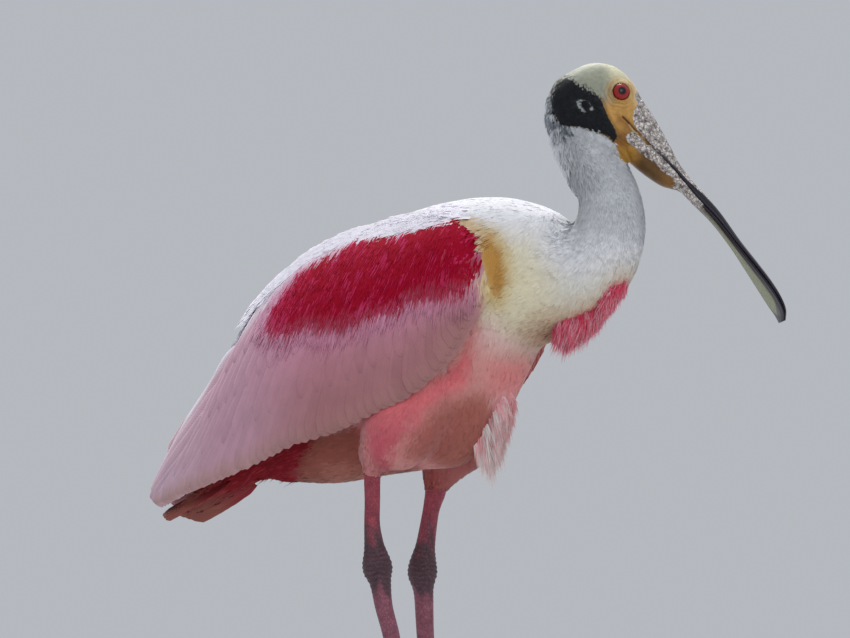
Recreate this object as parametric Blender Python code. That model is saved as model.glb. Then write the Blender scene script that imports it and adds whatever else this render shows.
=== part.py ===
"""Roseate spoonbill, life size, standing with its head turned a little to its left and its bill lowered.

Every length is in metres and +Z is up. The bird looks along +X and its left side is at +Y. The tables
give its outline in the plane between its two sides, with Z from the floor. At the end the whole model is
moved so that the origin lies on the floor, in the middle of its bounding box.
"""

import math

import bmesh
import bpy
import numpy as np
from mathutils import Vector

# Fit
GAP = 0.0003
CUTTER_SIZE = 0.8
# Edges bent by more than this many degrees are shaded sharp
SHARP_ANGLE = 50.0

# Torso, from rump to shoulders: top x and z, bottom x and z, half width
TORSO = (
    (-0.134, 0.226, -0.130, 0.202, 0.009),
    (-0.126, 0.258, -0.112, 0.190, 0.022),
    (-0.104, 0.298, -0.088, 0.187, 0.033),
    (-0.074, 0.330, -0.060, 0.186, 0.041),
    (-0.036, 0.356, -0.028, 0.190, 0.047),
    (0.004, 0.372, 0.008, 0.194, 0.050),
    (0.040, 0.3790, 0.034, 0.196, 0.050),
    (0.070, 0.379, 0.054, 0.209, 0.048),
    (0.093, 0.374, 0.068, 0.232, 0.043),
    (0.110, 0.367, 0.082, 0.259, 0.037),
    (0.118, 0.358, 0.098, 0.280, 0.031),
)
TORSO_SIDES = 22
TORSO_RINGS = 16
TORSO_FULLNESS = 0.88
TORSO_KEEL = 0.35

# Neck, from inside the body to inside the head: x, y, z and radius
NECK = (
    (0.066, 0.000, 0.306, 0.040),
    (0.093, 0.000, 0.316, 0.039),
    (0.1195, 0.000, 0.321, 0.035),
    (0.139, 0.001, 0.332, 0.0285),
    (0.1475, 0.003, 0.350, 0.0250),
    (0.1479, 0.005, 0.3657, 0.0226),
    (0.1439, 0.007, 0.3795, 0.0207),
    (0.1316, 0.009, 0.3984, 0.0208),
    (0.1205, 0.0105, 0.4158, 0.0203),
    (0.1180, 0.0113, 0.4300, 0.0120),
)
NECK_SIDES = 18
NECK_RINGS = 17

# Cuts that part the flesh: a point on the plane and the way its far side looks
NECK_BASE_CUT = ((0.1215, 0.0, 0.322), (0.985, 0.0, 0.17))
NECK_MIDDLE_CUT = ((0.146, 0.006, 0.372), (-0.28, 0.14, 0.95))

# Head: its middle plane is turned from the body's by the yaw, about the vertical through the reference point
HEAD_YAW = 35.0
HEAD_REFERENCE = (0.1316, 0.009)
# Along the head and z for top and bottom, and half width
HEAD = (
    (-0.0335, 0.4300, -0.0330, 0.4240, 0.004),
    (-0.0310, 0.4445, -0.0245, 0.4105, 0.0145),
    (-0.0234, 0.4539, -0.0134, 0.4070, 0.0185),
    (-0.0130, 0.4605, -0.0013, 0.4057, 0.0203),
    (-0.0005, 0.4655, 0.0095, 0.4062, 0.0208),
    (0.0137, 0.4640, 0.0162, 0.4062, 0.0192),
    (0.0244, 0.4563, 0.0202, 0.4049, 0.0168),
    (0.0312, 0.4464, 0.0225, 0.4028, 0.0146),
    (0.0342, 0.4403, 0.0216, 0.4026, 0.0132),
)
HEAD_SIDES = 20
HEAD_RINGS = 13
HEAD_CUT_AT = (-0.005, 0.4045)
HEAD_CUT_TILT = 15.0

# Eyes, lids and ears, as places along the head and z
EYE_AT = (0.0172, 0.4443)
EYE_RADIUS = 0.0068
EYE_SIDE = 0.0122
LID_RADIUS = 0.0060
LID_THICKNESS = 0.0011
LID_SEGMENTS = 14
LID_SIDES = 5
LID_MARGIN = 0.0007
# How far each eye looks ahead and up, against how far it looks sideways
EYE_AHEAD = 0.12
EYE_UP = 0.10
EAR_AT = (-0.0052, 0.4366)
EAR_LENGTH = 0.0044
EAR_HEIGHT = 0.0036
EAR_DEPTH = 0.0022
EAR_SUNK = 0.45
EAR_DISH = 0.7
EAR_DISH_OUT = 1.1
GAPE_AT = (0.0285, 0.4205)
GAPE_END = (0.0385, 0.4105)
GAPE_LENGTH = 0.0150
GAPE_WIDTH = 0.0012
GAPE_DEPTH = 0.0030

# Bill: along the head and z for top and bottom, share of the height below the mouth line, half width
BILL = (
    (0.0342, 0.4403, 0.0216, 0.4026, 0.52, 0.0132),
    (0.0406, 0.4310, 0.0296, 0.3953, 0.50, 0.0126),
    (0.0464, 0.4211, 0.0384, 0.3886, 0.51, 0.0116),
    (0.0526, 0.4096, 0.0471, 0.3833, 0.54, 0.0106),
    (0.0580, 0.3993, 0.0539, 0.3814, 0.54, 0.0100),
    (0.0654, 0.3889, 0.0603, 0.3791, 0.45, 0.0095),
    (0.0735, 0.3801, 0.0677, 0.3717, 0.38, 0.0089),
    (0.0862, 0.3654, 0.0806, 0.3590, 0.40, 0.0084),
    (0.0986, 0.3475, 0.0932, 0.3433, 0.42, 0.0108),
    (0.1107, 0.3310, 0.1048, 0.3270, 0.45, 0.0175),
    (0.1190, 0.3190, 0.1132, 0.3150, 0.45, 0.0225),
    (0.1250, 0.3090, 0.1196, 0.3052, 0.48, 0.0232),
    (0.1288, 0.3005, 0.1244, 0.2975, 0.50, 0.0180),
    (0.1296, 0.2935, 0.1262, 0.2920, 0.55, 0.0080),
)
BILL_ARCH = 6
BILL_FLAT = 2
BILL_RINGS = 17
# The lower half's width against the upper's, the roundness of the arch, and the height of its edges
BILL_LOWER_WIDTH = 0.94
BILL_ROUNDNESS = 0.8
BILL_EDGE = 0.08
BILL_FLOOR_WIDTH = 0.97
NOSTRIL_AT = (0.0440, 0.4190)
NOSTRIL_SIDE = 0.0062
NOSTRIL_LENGTH = 0.0060
NOSTRIL_WIDTH = 0.0009
NOSTRIL_DEPTH = 0.0036
NOSTRIL_TURN = -0.6

# Folded wing, from shoulder to tip: top edge x, y, z, lower edge x, y, z, bulge and thickness
WING = (
    (0.0706, 0.0360, 0.3490, 0.0800, 0.0420, 0.3120, 0.004, 0.010),
    (0.0501, 0.0330, 0.3638, 0.0725, 0.0550, 0.2890, 0.011, 0.017),
    (0.0279, 0.0280, 0.3667, 0.0565, 0.0600, 0.2620, 0.016, 0.020),
    (0.0016, 0.0230, 0.3642, 0.0335, 0.0630, 0.2430, 0.019, 0.020),
    (-0.0351, 0.0180, 0.3587, 0.0045, 0.0630, 0.2310, 0.020, 0.020),
    (-0.0686, 0.0140, 0.3483, -0.0300, 0.0600, 0.2190, 0.020, 0.018),
    (-0.0977, 0.0100, 0.3328, -0.0690, 0.0540, 0.2105, 0.018, 0.015),
    (-0.1222, 0.0060, 0.3147, -0.1055, 0.0450, 0.1985, 0.015, 0.011),
    (-0.1411, 0.0035, 0.2941, -0.1380, 0.0360, 0.1900, 0.012, 0.008),
    (-0.1630, 0.0020, 0.2600, -0.1680, 0.0265, 0.1830, 0.008, 0.006),
    (-0.1880, 0.0015, 0.2260, -0.1900, 0.0180, 0.1770, 0.005, 0.005),
    (-0.2134, 0.0015, 0.1835, -0.2055, 0.0100, 0.1747, 0.001, 0.003),
)
WING_ALONG = 11
WING_ACROSS = 5
# The wing's flesh ends short of its feather tips, as shares of its length and height
WING_CORE_END = 0.86
WING_CORE_EDGE = 0.84
WING_CORE_INSET = 0.0018
# Share of the wing's thickness at shares of its height
WING_PROFILE = ((0.0, 0.55), (0.4, 1.0), (0.7, 0.8), (1.0, 0.25))
# The room kept for a wing and its feathers by what lies under it: outside its surface, and its added depth
WING_ROOM_OUTSIDE = 0.0045
WING_ROOM_DEPTH = 0.0078
WING_ROOM_END = 1.04
WING_ROOM_EDGE = 1.06

# Tiers of wing feathers: count, first and last tip along the wing, tip height, root height, sweep at the
# shoulder and its growth towards the tip, width at the shoulder and at the tip
WING_TIERS = (
    (15, 0.06, 0.970, 1.00, 0.42, 0.10, 0.16, 0.0290, 0.0175),
    (9, 0.04, 0.800, 0.72, 0.22, 0.09, 0.14, 0.0340, 0.0200),
    (7, 0.05, 0.700, 0.45, 0.07, 0.08, 0.12, 0.0360, 0.0220),
    (4, 0.48, 0.900, 0.17, 0.06, 0.10, 0.10, 0.0240, 0.0150),
)
# The outermost primaries make the wing's point: tip along the wing and height on it
WING_POINT = ((0.990, 0.86), (1.000, 0.55), (0.985, 0.25))
WING_POINT_LENGTH = 0.30
WING_POINT_ROOT = (0.25, 0.35)
VANE_ROWS = 4
VANE_THICKNESS = 0.0008
VANE_TIP_THICKNESS = 0.0006
# How deep a wing feather's root lies, at most and as a share of the wing's depth, and how far its tip rises
VANE_SUNK = 0.0060
VANE_SUNK_SHARE = 0.45
VANE_LIFT = 0.0030
VANE_ROLL = 0.0032
# Share of a feather's width, of a hanging lock's width, and of a wing feather's rise, at shares of the length
VANE_SHAPE = ((0.0, 0.6), (0.3, 1.0), (0.75, 0.95), (1.0, 0.35))
LOCK_SHAPE = ((0.0, 0.7), (0.35, 1.0), (0.7, 0.85), (1.0, 0.3))
VANE_SWEEP = 1.15

# Tail: top x and z, bottom x and z, half width
TAIL = (
    (-0.112, 0.236, -0.106, 0.194, 0.016),
    (-0.140, 0.212, -0.130, 0.188, 0.019),
    (-0.165, 0.190, -0.158, 0.176, 0.021),
    (-0.188, 0.1735, -0.184, 0.1665, 0.023),
    (-0.204, 0.1700, -0.202, 0.1670, 0.019),
    (-0.211, 0.1690, -0.210, 0.1680, 0.008),
)
TAIL_SIDES = 14
TAIL_RINGS = 9
TAIL_CORE_END = 4
# Tail feathers: count, root x, half spread and z, tip x, half spread and z, how much the outer ones are
# shorter and lower, and width
TAIL_FEATHERS = (
    (7, -0.140, 0.013, 0.1935, -0.2115, 0.0205, 0.1705, 0.0110, 0.0045, 0.0130),
    (3, -0.128, 0.010, 0.1915, -0.1780, 0.0150, 0.1650, 0.0060, -0.0030, 0.0150),
)

# Locks that hang from the root of the neck: place along its rows, spread round it, count, fall and trail
CROP_LOCKS = (
    (2.55, 44.0, 4, 0.0270, 0.0150),
    (2.85, 40.0, 4, 0.0250, 0.0140),
    (3.15, 28.0, 3, 0.0210, 0.0130),
)
CROP_LOCK_WIDTH = 0.0140
CROP_LOCK_SHORT = 0.82
LOCK_SUNK = 0.0080
LOCK_BEND = 0.0030
# Locks that hang from the breast and, last, from the crop: root x, y and z, and tip x, y and z
BREAST_LOCKS = (
    (0.0620, -0.0300, 0.2380, 0.0745, -0.0320, 0.1910),
    (0.0640, -0.0210, 0.2340, 0.0730, -0.0225, 0.1960),
    (0.0580, -0.0120, 0.2290, 0.0690, -0.0130, 0.1990),
    (0.0590, -0.0030, 0.2270, 0.0670, -0.0030, 0.2050),
    (0.0540, -0.0200, 0.2260, 0.0640, -0.0220, 0.1880),
    (0.0560, 0.0090, 0.2290, 0.0600, 0.0100, 0.2050),
    (0.1170, -0.0170, 0.2930, 0.1090, -0.0190, 0.2680),
    (0.1060, -0.0080, 0.2880, 0.1000, -0.0085, 0.2680),
    (0.1170, 0.0020, 0.2900, 0.1090, 0.0020, 0.2670),
    (0.1090, 0.0130, 0.2900, 0.1020, 0.0140, 0.2680),
)
BREAST_LOCK_WIDTH = 0.0130
LOCK_ROWS = 4
LOCK_THICKNESS = 0.0014
BREAST_LOCK_BEND = np.array((0.004, 0.0, 0.0))
# How much a breast lock's flat face turns outwards with its distance from the middle
BREAST_LOCK_TURN = 12.0

# Legs: x, y, z and radius, for the right and the left leg
THIGH_RIGHT = (
    (0.034, -0.026, 0.262, 0.030),
    (0.018, -0.032, 0.238, 0.031),
    (0.004, -0.035, 0.216, 0.027),
    (-0.008, -0.035, 0.203, 0.017),
    (-0.013, -0.034, 0.1935, 0.0088),
    (-0.0135, -0.034, 0.188, 0.0062),
)
THIGH_LEFT = (
    (0.036, 0.026, 0.262, 0.030),
    (0.022, 0.032, 0.236, 0.031),
    (0.009, 0.035, 0.213, 0.027),
    (0.0015, 0.035, 0.198, 0.018),
    (-0.0025, 0.034, 0.186, 0.0104),
    (-0.0035, 0.034, 0.180, 0.0078),
)
LEG_RIGHT = (
    (-0.0135, -0.034, 0.1960, 0.0058),
    (-0.0135, -0.034, 0.1895, 0.0056),
    (-0.0134, -0.034, 0.1740, 0.0053),
    (-0.0136, -0.034, 0.1581, 0.0054),
    (-0.0122, -0.034, 0.1450, 0.0066),
    (-0.0111, -0.034, 0.1387, 0.0080),
    (-0.0100, -0.034, 0.1320, 0.0098),
    (-0.0088, -0.034, 0.1260, 0.0098),
    (-0.0070, -0.034, 0.1180, 0.0072),
    (-0.0043, -0.034, 0.1023, 0.0060),
    (0.0022, -0.035, 0.0823, 0.0057),
    (0.0110, -0.0365, 0.0470, 0.0053),
    (0.0178, -0.0378, 0.0200, 0.0056),
    (0.0195, -0.0383, 0.0130, 0.0058),
)
LEG_LEFT = (
    (-0.0025, 0.034, 0.1880, 0.0078),
    (-0.0035, 0.034, 0.1815, 0.0072),
    (-0.0056, 0.034, 0.1740, 0.0062),
    (-0.0078, 0.034, 0.1649, 0.0057),
    (-0.0112, 0.034, 0.1460, 0.0066),
    (-0.0126, 0.034, 0.1377, 0.0082),
    (-0.0136, 0.034, 0.1300, 0.0099),
    (-0.0138, 0.034, 0.1240, 0.0099),
    (-0.0138, 0.035, 0.1160, 0.0074),
    (-0.0138, 0.036, 0.1080, 0.0066),
    (-0.0137, 0.038, 0.0820, 0.0060),
    (-0.0130, 0.043, 0.0470, 0.0055),
    (-0.0125, 0.046, 0.0200, 0.0058),
    (-0.0122, 0.0463, 0.0130, 0.0060),
)
LEG_RINGS = 22
THIGH_SIDES = 14
THIGH_RINGS = 10
THIGH_END_RIGHT = 0.1905
THIGH_END_LEFT = 0.1825
ANKLE_CUT = 0.1386
FOOT_CUT = 0.0196
LEG_SIDES = 9

# Feet: place of the joint above the toes, heading, and for each toe its spread, length and radius at the root
FOOT_RIGHT_AT = (0.0195, -0.0383)
FOOT_LEFT_AT = (-0.0122, 0.0463)
FOOT_RIGHT_HEADING = 2.0
FOOT_LEFT_HEADING = 16.0
HEEL_HEIGHT = 0.0078
TOES = (
    ("middle", 0.0, 0.080, 0.0047),
    ("inner", 34.0, 0.064, 0.0043),
    ("outer", -33.0, 0.070, 0.0043),
    ("hind", 176.0, 0.036, 0.0038),
)
TOE_TIP_RADIUS = 0.0026
TOE_SINK = 0.0007
TOE_RINGS = 5
CLAW_SIDES = 5
CLAW_RINGS = 5
CLAW_LENGTH = 0.0085
CLAW_RADIUS = 0.0020
# Share of a toe's length and of its root radius, from root to tip
TOE_SHAPE = ((0.22, 1.0), (0.60, 0.84))
TOE_START = 0.0010
# Share of a claw's length, rise of its middle, and share of its radius
CLAW_SHAPE = ((0.0, 0.0, 1.0), (0.4, 0.0003, 0.85), (0.8, -0.0003, 0.45), (1.0, -0.0010, 0.15))
# The knuckle above the toes: share of the leg's radius there, and lower down, and how much lower
KNUCKLE = (1.08, 0.8, 0.0035)
WEB_REACH = 0.30
WEB_THICKNESS = 0.0016
WEB_HOLLOW = 0.45
WEB_START = 0.06
# Height of a web's upper face at its root, middle and front edge
WEB_HEIGHTS = (0.0030, 0.0028, 0.0024)
FOOT_SIDES = 6

# Colours and roughness of each node's material
WHITE = (0.80, 0.74, 0.75, 1.0)
NECK_WHITE = (0.82, 0.80, 0.78, 1.0)
PINK = (0.78, 0.40, 0.50, 1.0)
CRIMSON = (0.50, 0.02, 0.08, 1.0)
LEG_RED = (0.42, 0.08, 0.11, 1.0)
SKIN = (0.62, 0.46, 0.20, 1.0)
BILL_GREY = (0.16, 0.14, 0.14, 1.0)
CLAW_BLACK = (0.03, 0.025, 0.025, 1.0)
EYE_RED = (0.45, 0.03, 0.02, 1.0)
EAR_GREY = (0.45, 0.45, 0.46, 1.0)


def smooth_rows(rows, count):
    """Rows read evenly from a Catmull-Rom curve through the given rows."""
    rows = np.array(rows, float)
    rows = np.vstack([2 * rows[0] - rows[1], rows, 2 * rows[-1] - rows[-2]])
    spans = len(rows) - 3
    out = []
    for place in np.linspace(0, spans, count):
        i = min(int(place), spans - 1)
        out.append(between(rows[i : i + 4], place - i))
    return np.array(out)


def between(four, share):
    """The point at a share of the way from the second to the third of four rows."""
    a, b, c, d = four
    bend = (2 * a - 5 * b + 4 * c - d) * share**2
    return 0.5 * (2 * b + (c - a) * share + bend + (3 * b - 3 * c + d - a) * share**3)


def read(table, shares):
    """Values read straight between the points of a table of share and value."""
    return np.interp(shares, [row[0] for row in table], [row[1] for row in table])


def unit(vector):
    vector = np.array(vector, float)
    return vector / np.linalg.norm(vector)


def new_object(name, points, faces):
    """A mesh object in the model's collection, with its faces turned outwards."""
    mesh = bpy.data.meshes.new(name)
    mesh.from_pydata([tuple(p) for p in points], [], [tuple(map(int, f)) for f in faces])
    shape = bmesh.new()
    shape.from_mesh(mesh)
    bmesh.ops.recalc_face_normals(shape, faces=shape.faces)
    shape.to_mesh(mesh)
    shape.free()
    obj = bpy.data.objects.new(name, mesh)
    bpy.data.collections["roseate_spoonbill"].objects.link(obj)
    return obj


def loft(name, rings):
    """A closed surface over rings of equal counts, each end closed by a fan on the ring's middle."""
    rings = np.array(rings)
    count, sides = rings.shape[:2]
    points = list(rings.reshape(-1, 3)) + [rings[0].mean(axis=0), rings[-1].mean(axis=0)]
    faces = []
    for i in range(count - 1):
        for j in range(sides):
            k = (j + 1) % sides
            faces.append((i * sides + j, i * sides + k, (i + 1) * sides + k, (i + 1) * sides + j))
    for end, centre in ((0, count * sides), (count - 1, count * sides + 1)):
        for j in range(sides):
            faces.append((end * sides + j, end * sides + (j + 1) % sides, centre))
    return new_object(name, points, faces)


def slab(name, outer, inner):
    """A closed plate between two grids of points, split into triangles alike on both faces."""
    rows, columns = outer.shape[:2]
    points = np.vstack([outer.reshape(-1, 3), inner.reshape(-1, 3)])
    shift = rows * columns
    faces = []
    for i in range(rows - 1):
        for j in range(columns - 1):
            a = i * columns + j
            quad = (a, a + 1, a + columns + 1, a + columns)
            for corners in ((quad[0], quad[1], quad[2]), (quad[0], quad[2], quad[3])):
                faces.append(corners)
                faces.append(tuple(c + shift for c in reversed(corners)))
    border = [j for j in range(columns)]
    border += [i * columns + columns - 1 for i in range(1, rows)]
    border += [(rows - 1) * columns + j for j in range(columns - 2, -1, -1)]
    border += [i * columns for i in range(rows - 2, 0, -1)]
    for a, b in zip(border, border[1:] + border[:1]):
        faces.append((b, a, a + shift))
        faces.append((b, a + shift, b + shift))
    return new_object(name, points, faces)


def oval(top, bottom, side, half_width, sides, fullness=1.0, keel=0.0):
    """An oval ring on the chord from bottom to top, with a lower half narrowed by the keel."""
    centre = (top + bottom) / 2
    half = (top - bottom) / 2
    ring = []
    for turn in np.linspace(0, 2 * math.pi, sides, endpoint=False):
        height = math.copysign(abs(math.cos(turn)) ** fullness, math.cos(turn))
        width = math.copysign(abs(math.sin(turn)) ** fullness, math.sin(turn))
        width *= 1 - keel * ((1 - math.cos(turn)) / 2) ** 2
        ring.append(centre + half * height + side * half_width * width)
    return ring


def tube(name, rows, sides, count=None):
    """A round tube along rows of x, y, z and radius."""
    rows = smooth_rows(rows, count or 2 * len(rows))
    ways = np.gradient(rows[:, :3], axis=0)
    across = LEFT
    rings = []
    for row, way in zip(rows, ways):
        way = unit(way)
        up = unit(np.cross(way, across))
        over = np.cross(up, way)
        rings.append(oval(row[:3] + up * row[3], row[:3] - up * row[3], over, row[3], sides))
    return loft(name, rings)


def boolean(obj, cutter, operation, solver="EXACT"):
    """Apply one Boolean with another object, which is then removed."""
    modifier = obj.modifiers.new(operation.lower(), "BOOLEAN")
    modifier.operation = operation
    modifier.solver = solver
    modifier.object = cutter
    settle(obj)
    bpy.data.objects.remove(cutter)
    return obj


def settle(obj):
    """Replace an object's mesh with its evaluated one and keep its largest closed surface."""
    depsgraph = bpy.context.evaluated_depsgraph_get()
    mesh = bpy.data.meshes.new_from_object(obj.evaluated_get(depsgraph))
    obj.modifiers.clear()
    obj.data = mesh
    shape = bmesh.new()
    shape.from_mesh(mesh)
    surfaces = []
    loose = set(shape.faces)
    while loose:
        found = {loose.pop()}
        edge_of_search = list(found)
        while edge_of_search:
            face = edge_of_search.pop()
            for edge in face.edges:
                for other in edge.link_faces:
                    if other in loose:
                        loose.discard(other)
                        found.add(other)
                        edge_of_search.append(other)
        surfaces.append(found)
    if len(surfaces) > 1:
        sizes = [sum(signed_volume(face) for face in found) for found in surfaces]
        keep = surfaces[int(np.argmax(sizes))]
        spare = [vert for vert in shape.verts if not any(face in keep for face in vert.link_faces)]
        bmesh.ops.delete(shape, geom=spare, context="VERTS")
        shape.to_mesh(mesh)
    shape.free()


def signed_volume(face):
    corners = [vert.co for vert in face.verts]
    first = corners[0]
    return sum(first.dot(b.cross(c)) for b, c in zip(corners[1:], corners[2:]))


def copy_of(obj, name):
    twin = bpy.data.objects.new(name, obj.data.copy())
    bpy.data.collections["roseate_spoonbill"].objects.link(twin)
    return twin


def swollen(obj, by=GAP):
    """A copy of an object grown along its normals, as a cutter that leaves the fit's gap."""
    twin = copy_of(obj, obj.name + "_swollen")
    normals = [vert.normal.copy() for vert in twin.data.vertices]
    for vert, normal in zip(twin.data.vertices, normals):
        vert.co += normal * by
    return twin


def fused(obj, pieces, solver="MANIFOLD"):
    """Join loose pieces to an object in one Boolean union on their collection, then remove them."""
    group = bpy.data.collections.new("pieces")
    for piece in pieces:
        for old in list(piece.users_collection):
            old.objects.unlink(piece)
        group.objects.link(piece)
    modifier = obj.modifiers.new("union", "BOOLEAN")
    modifier.operation = "UNION"
    modifier.solver = solver
    modifier.operand_type = "COLLECTION"
    modifier.collection = group
    settle(obj)
    for piece in pieces:
        bpy.data.objects.remove(piece)
    bpy.data.collections.remove(group)
    return obj


def block(name, centre, size, turn):
    """A cube primitive with the given sides, turned by a matrix, as a mesh with its place applied."""
    bpy.ops.mesh.primitive_cube_add(size=1.0)
    obj = bpy.context.object
    obj.name = name
    for vert in obj.data.vertices:
        local = Vector(c * s for c, s in zip(vert.co, size))
        vert.co = Vector(centre) + Vector(sum(np.array(a) * float(c) for a, c in zip(turn, local)))
    return obj


def half_space(point, way):
    """A large block whose near face is parallel to a plane, half the gap before the point."""
    way = unit(way)
    level = unit(np.cross(way, LEFT if abs(way[1]) < 0.9 else UP))
    axes = (level, np.cross(way, level), way)
    centre = np.array(point) + way * (CUTTER_SIZE - GAP) / 2
    return block("half_space", centre, (CUTTER_SIZE,) * 3, axes)


def trimmed(obj, point, way):
    """Remove what lies past a plane, and half the gap with it."""
    return boolean(obj, half_space(point, way), "DIFFERENCE")


def parted(obj, name, point, way):
    """Split an object at a plane: it keeps the near side, and a new object takes the far side."""
    far = copy_of(obj, name)
    trimmed(far, point, -np.array(way))
    trimmed(obj, point, way)
    return far


def head_point(along, z, side=0.0):
    """A place in the turned head: along its middle plane, z from the floor, and to its left."""
    yaw = math.radians(HEAD_YAW)
    x = HEAD_REFERENCE[0] + along * math.cos(yaw) - side * math.sin(yaw)
    y = HEAD_REFERENCE[1] + along * math.sin(yaw) + side * math.cos(yaw)
    return np.array((x, y, z))


HEAD_AHEAD = head_point(1, 0) - head_point(0, 0)
HEAD_LEFT = head_point(0, 0, 1) - head_point(0, 0)
UP = np.array((0.0, 0.0, 1.0))
LEFT = np.array((0.0, 1.0, 0.0))


def torso_loft():
    rings = []
    for top_x, top_z, bottom_x, bottom_z, half_width in smooth_rows(TORSO, TORSO_RINGS):
        top = np.array((top_x, 0.0, top_z))
        bottom = np.array((bottom_x, 0.0, bottom_z))
        shape = (half_width, TORSO_SIDES, TORSO_FULLNESS, TORSO_KEEL)
        rings.append(oval(top, bottom, LEFT, *shape))
    return loft("torso", rings)


def head_loft():
    rings = []
    for top_at, top_z, bottom_at, bottom_z, half_width in smooth_rows(HEAD, HEAD_RINGS):
        top = head_point(top_at, top_z)
        bottom = head_point(bottom_at, bottom_z)
        rings.append(oval(top, bottom, HEAD_LEFT, half_width, HEAD_SIDES))
    return loft("head_loft", rings)


def flesh():
    """Torso, neck and head as one body, parted by thin cuts into their nodes."""
    torso = torso_loft()
    boolean(torso, tube("neck_tube", NECK, NECK_SIDES, NECK_RINGS), "UNION")
    boolean(torso, head_loft(), "UNION")
    neck_lower = parted(torso, "neck_lower", *NECK_BASE_CUT)
    neck_upper = parted(neck_lower, "neck_upper", *NECK_MIDDLE_CUT)
    tilt = math.radians(HEAD_CUT_TILT)
    head_way = HEAD_AHEAD * math.sin(tilt) + UP * math.cos(tilt)
    head = parted(neck_upper, "head", head_point(*HEAD_CUT_AT), head_way)
    return {"torso": torso, "neck_lower": neck_lower, "neck_upper": neck_upper, "head": head}


def ball(name, centre, radii, axes, rings=8, segments=12):
    """A UV sphere primitive stretched along three axes, with its place applied."""
    bpy.ops.mesh.primitive_uv_sphere_add(segments=segments, ring_count=rings, radius=1.0)
    obj = bpy.context.object
    obj.name = name
    for vert in obj.data.vertices:
        offset = sum(np.array(a) * float(c) * r for a, c, r in zip(axes, vert.co, radii))
        vert.co = Vector(np.array(centre) + offset)
    return obj


def lid_ring(name, centre, radius, thickness, outward):
    """A raised ring round an eye, as a torus primitive turned to face outwards."""
    bpy.ops.mesh.primitive_torus_add(
        major_radius=radius, minor_radius=thickness, major_segments=LID_SEGMENTS, minor_segments=LID_SIDES
    )
    obj = bpy.context.object
    obj.name = name
    over = unit(np.cross(UP, outward))
    rise = np.cross(outward, over)
    for vert in obj.data.vertices:
        x, y, z = vert.co
        vert.co = Vector(np.array(centre) + over * x + rise * y + outward * z)
    return obj


def head_features(head):
    """Eyes in sockets with lids, ears in pockets, and the corners of the mouth."""
    nodes = {}
    for side, name in ((-1, "right"), (1, "left")):
        outward = unit(HEAD_LEFT * side + HEAD_AHEAD * EYE_AHEAD + UP * EYE_UP)
        over = unit(np.cross(UP, outward))
        axes = (over, np.cross(outward, over), outward)
        centre = head_point(*EYE_AT, side * EYE_SIDE)
        lid_at = centre + outward * math.sqrt(EYE_RADIUS**2 - LID_RADIUS**2)
        lid = lid_ring("lid_" + name, lid_at, LID_RADIUS + LID_MARGIN, LID_THICKNESS, outward)
        boolean(head, lid, "UNION")
        radius = EYE_RADIUS + GAP
        boolean(head, ball("socket_" + name, centre, (radius,) * 3, axes), "DIFFERENCE")
        nodes["eye_" + name] = ball("eye_" + name, centre, (EYE_RADIUS,) * 3, axes)
        ear_at = head_point(*EAR_AT, side * (head_half_width(*EAR_AT) - EAR_DEPTH * EAR_SUNK))
        flat = (HEAD_AHEAD * -side, UP, HEAD_LEFT * side)
        pocket = (EAR_LENGTH + GAP, EAR_HEIGHT + GAP, EAR_DEPTH + GAP)
        boolean(head, ball("pocket_" + name, ear_at, pocket, flat, 7, 10), "DIFFERENCE")
        ear = ball("ear_" + name, ear_at, (EAR_LENGTH, EAR_HEIGHT, EAR_DEPTH), flat, 7, 10)
        dish_at = ear_at + HEAD_LEFT * side * EAR_DEPTH * EAR_DISH_OUT
        hollow = (EAR_LENGTH * EAR_DISH, EAR_HEIGHT * EAR_DISH, EAR_DEPTH)
        nodes["ear_" + name] = boolean(ear, ball("dish", dish_at, hollow, flat, 5, 8), "DIFFERENCE")
        gape = head_point(*GAPE_AT, side * head_half_width(*GAPE_AT))
        along = unit(head_point(*GAPE_END) - head_point(*GAPE_AT))
        axes = (along, np.cross(HEAD_LEFT, along), HEAD_LEFT)
        groove = (GAPE_LENGTH / 2, GAPE_WIDTH / 2, GAPE_DEPTH / 2)
        boolean(head, ball("gape", gape, groove, axes, 7, 10), "DIFFERENCE")
    return nodes


def head_half_width(along, z):
    """Half the head's width at a place seen from the side."""
    rows = smooth_rows(HEAD, 4 * HEAD_RINGS)
    middle = (rows[:, 0] + rows[:, 2]) / 2
    row = rows[np.argmin(abs(middle - along))]
    centre = (row[1] + row[3]) / 2
    share = min(1.0, abs(z - centre) / ((row[1] - row[3]) / 2))
    return row[4] * math.sqrt(1 - share**2)


def mandible(name, upper):
    """One half of the bill: an arch over a flat face along the mouth line."""
    rings = []
    for top_at, top_z, bottom_at, bottom_z, share, half_width in smooth_rows(BILL, BILL_RINGS):
        top = head_point(top_at, top_z)
        bottom = head_point(bottom_at, bottom_z)
        rise = unit(top - bottom)
        mouth = bottom + (top - bottom) * share
        crest = (top - mouth) if upper else (bottom - mouth)
        mouth = mouth + rise * (GAP / 2 if upper else -GAP / 2)
        reach = half_width * (1.0 if upper else BILL_LOWER_WIDTH)
        ring = []
        for turn in np.linspace(-math.pi / 2, math.pi / 2, BILL_ARCH + 1):
            height = max(0.0, math.cos(turn)) ** BILL_ROUNDNESS * (1 - BILL_EDGE) + BILL_EDGE
            ring.append(mouth + crest * height + HEAD_LEFT * reach * math.sin(turn))
        for place in np.linspace(1, -1, BILL_FLAT + 1):
            ring.append(mouth + HEAD_LEFT * reach * place * BILL_FLOOR_WIDTH)
        rings.append(ring)
    start = head_point(BILL[0][0], BILL[0][1]), head_point(BILL[0][2], BILL[0][3])
    along = unit(np.cross(HEAD_LEFT, unit(start[0] - start[1])))
    shifted = [[point + along * GAP for point in ring] for ring in rings]
    return loft(name, shifted)


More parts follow.
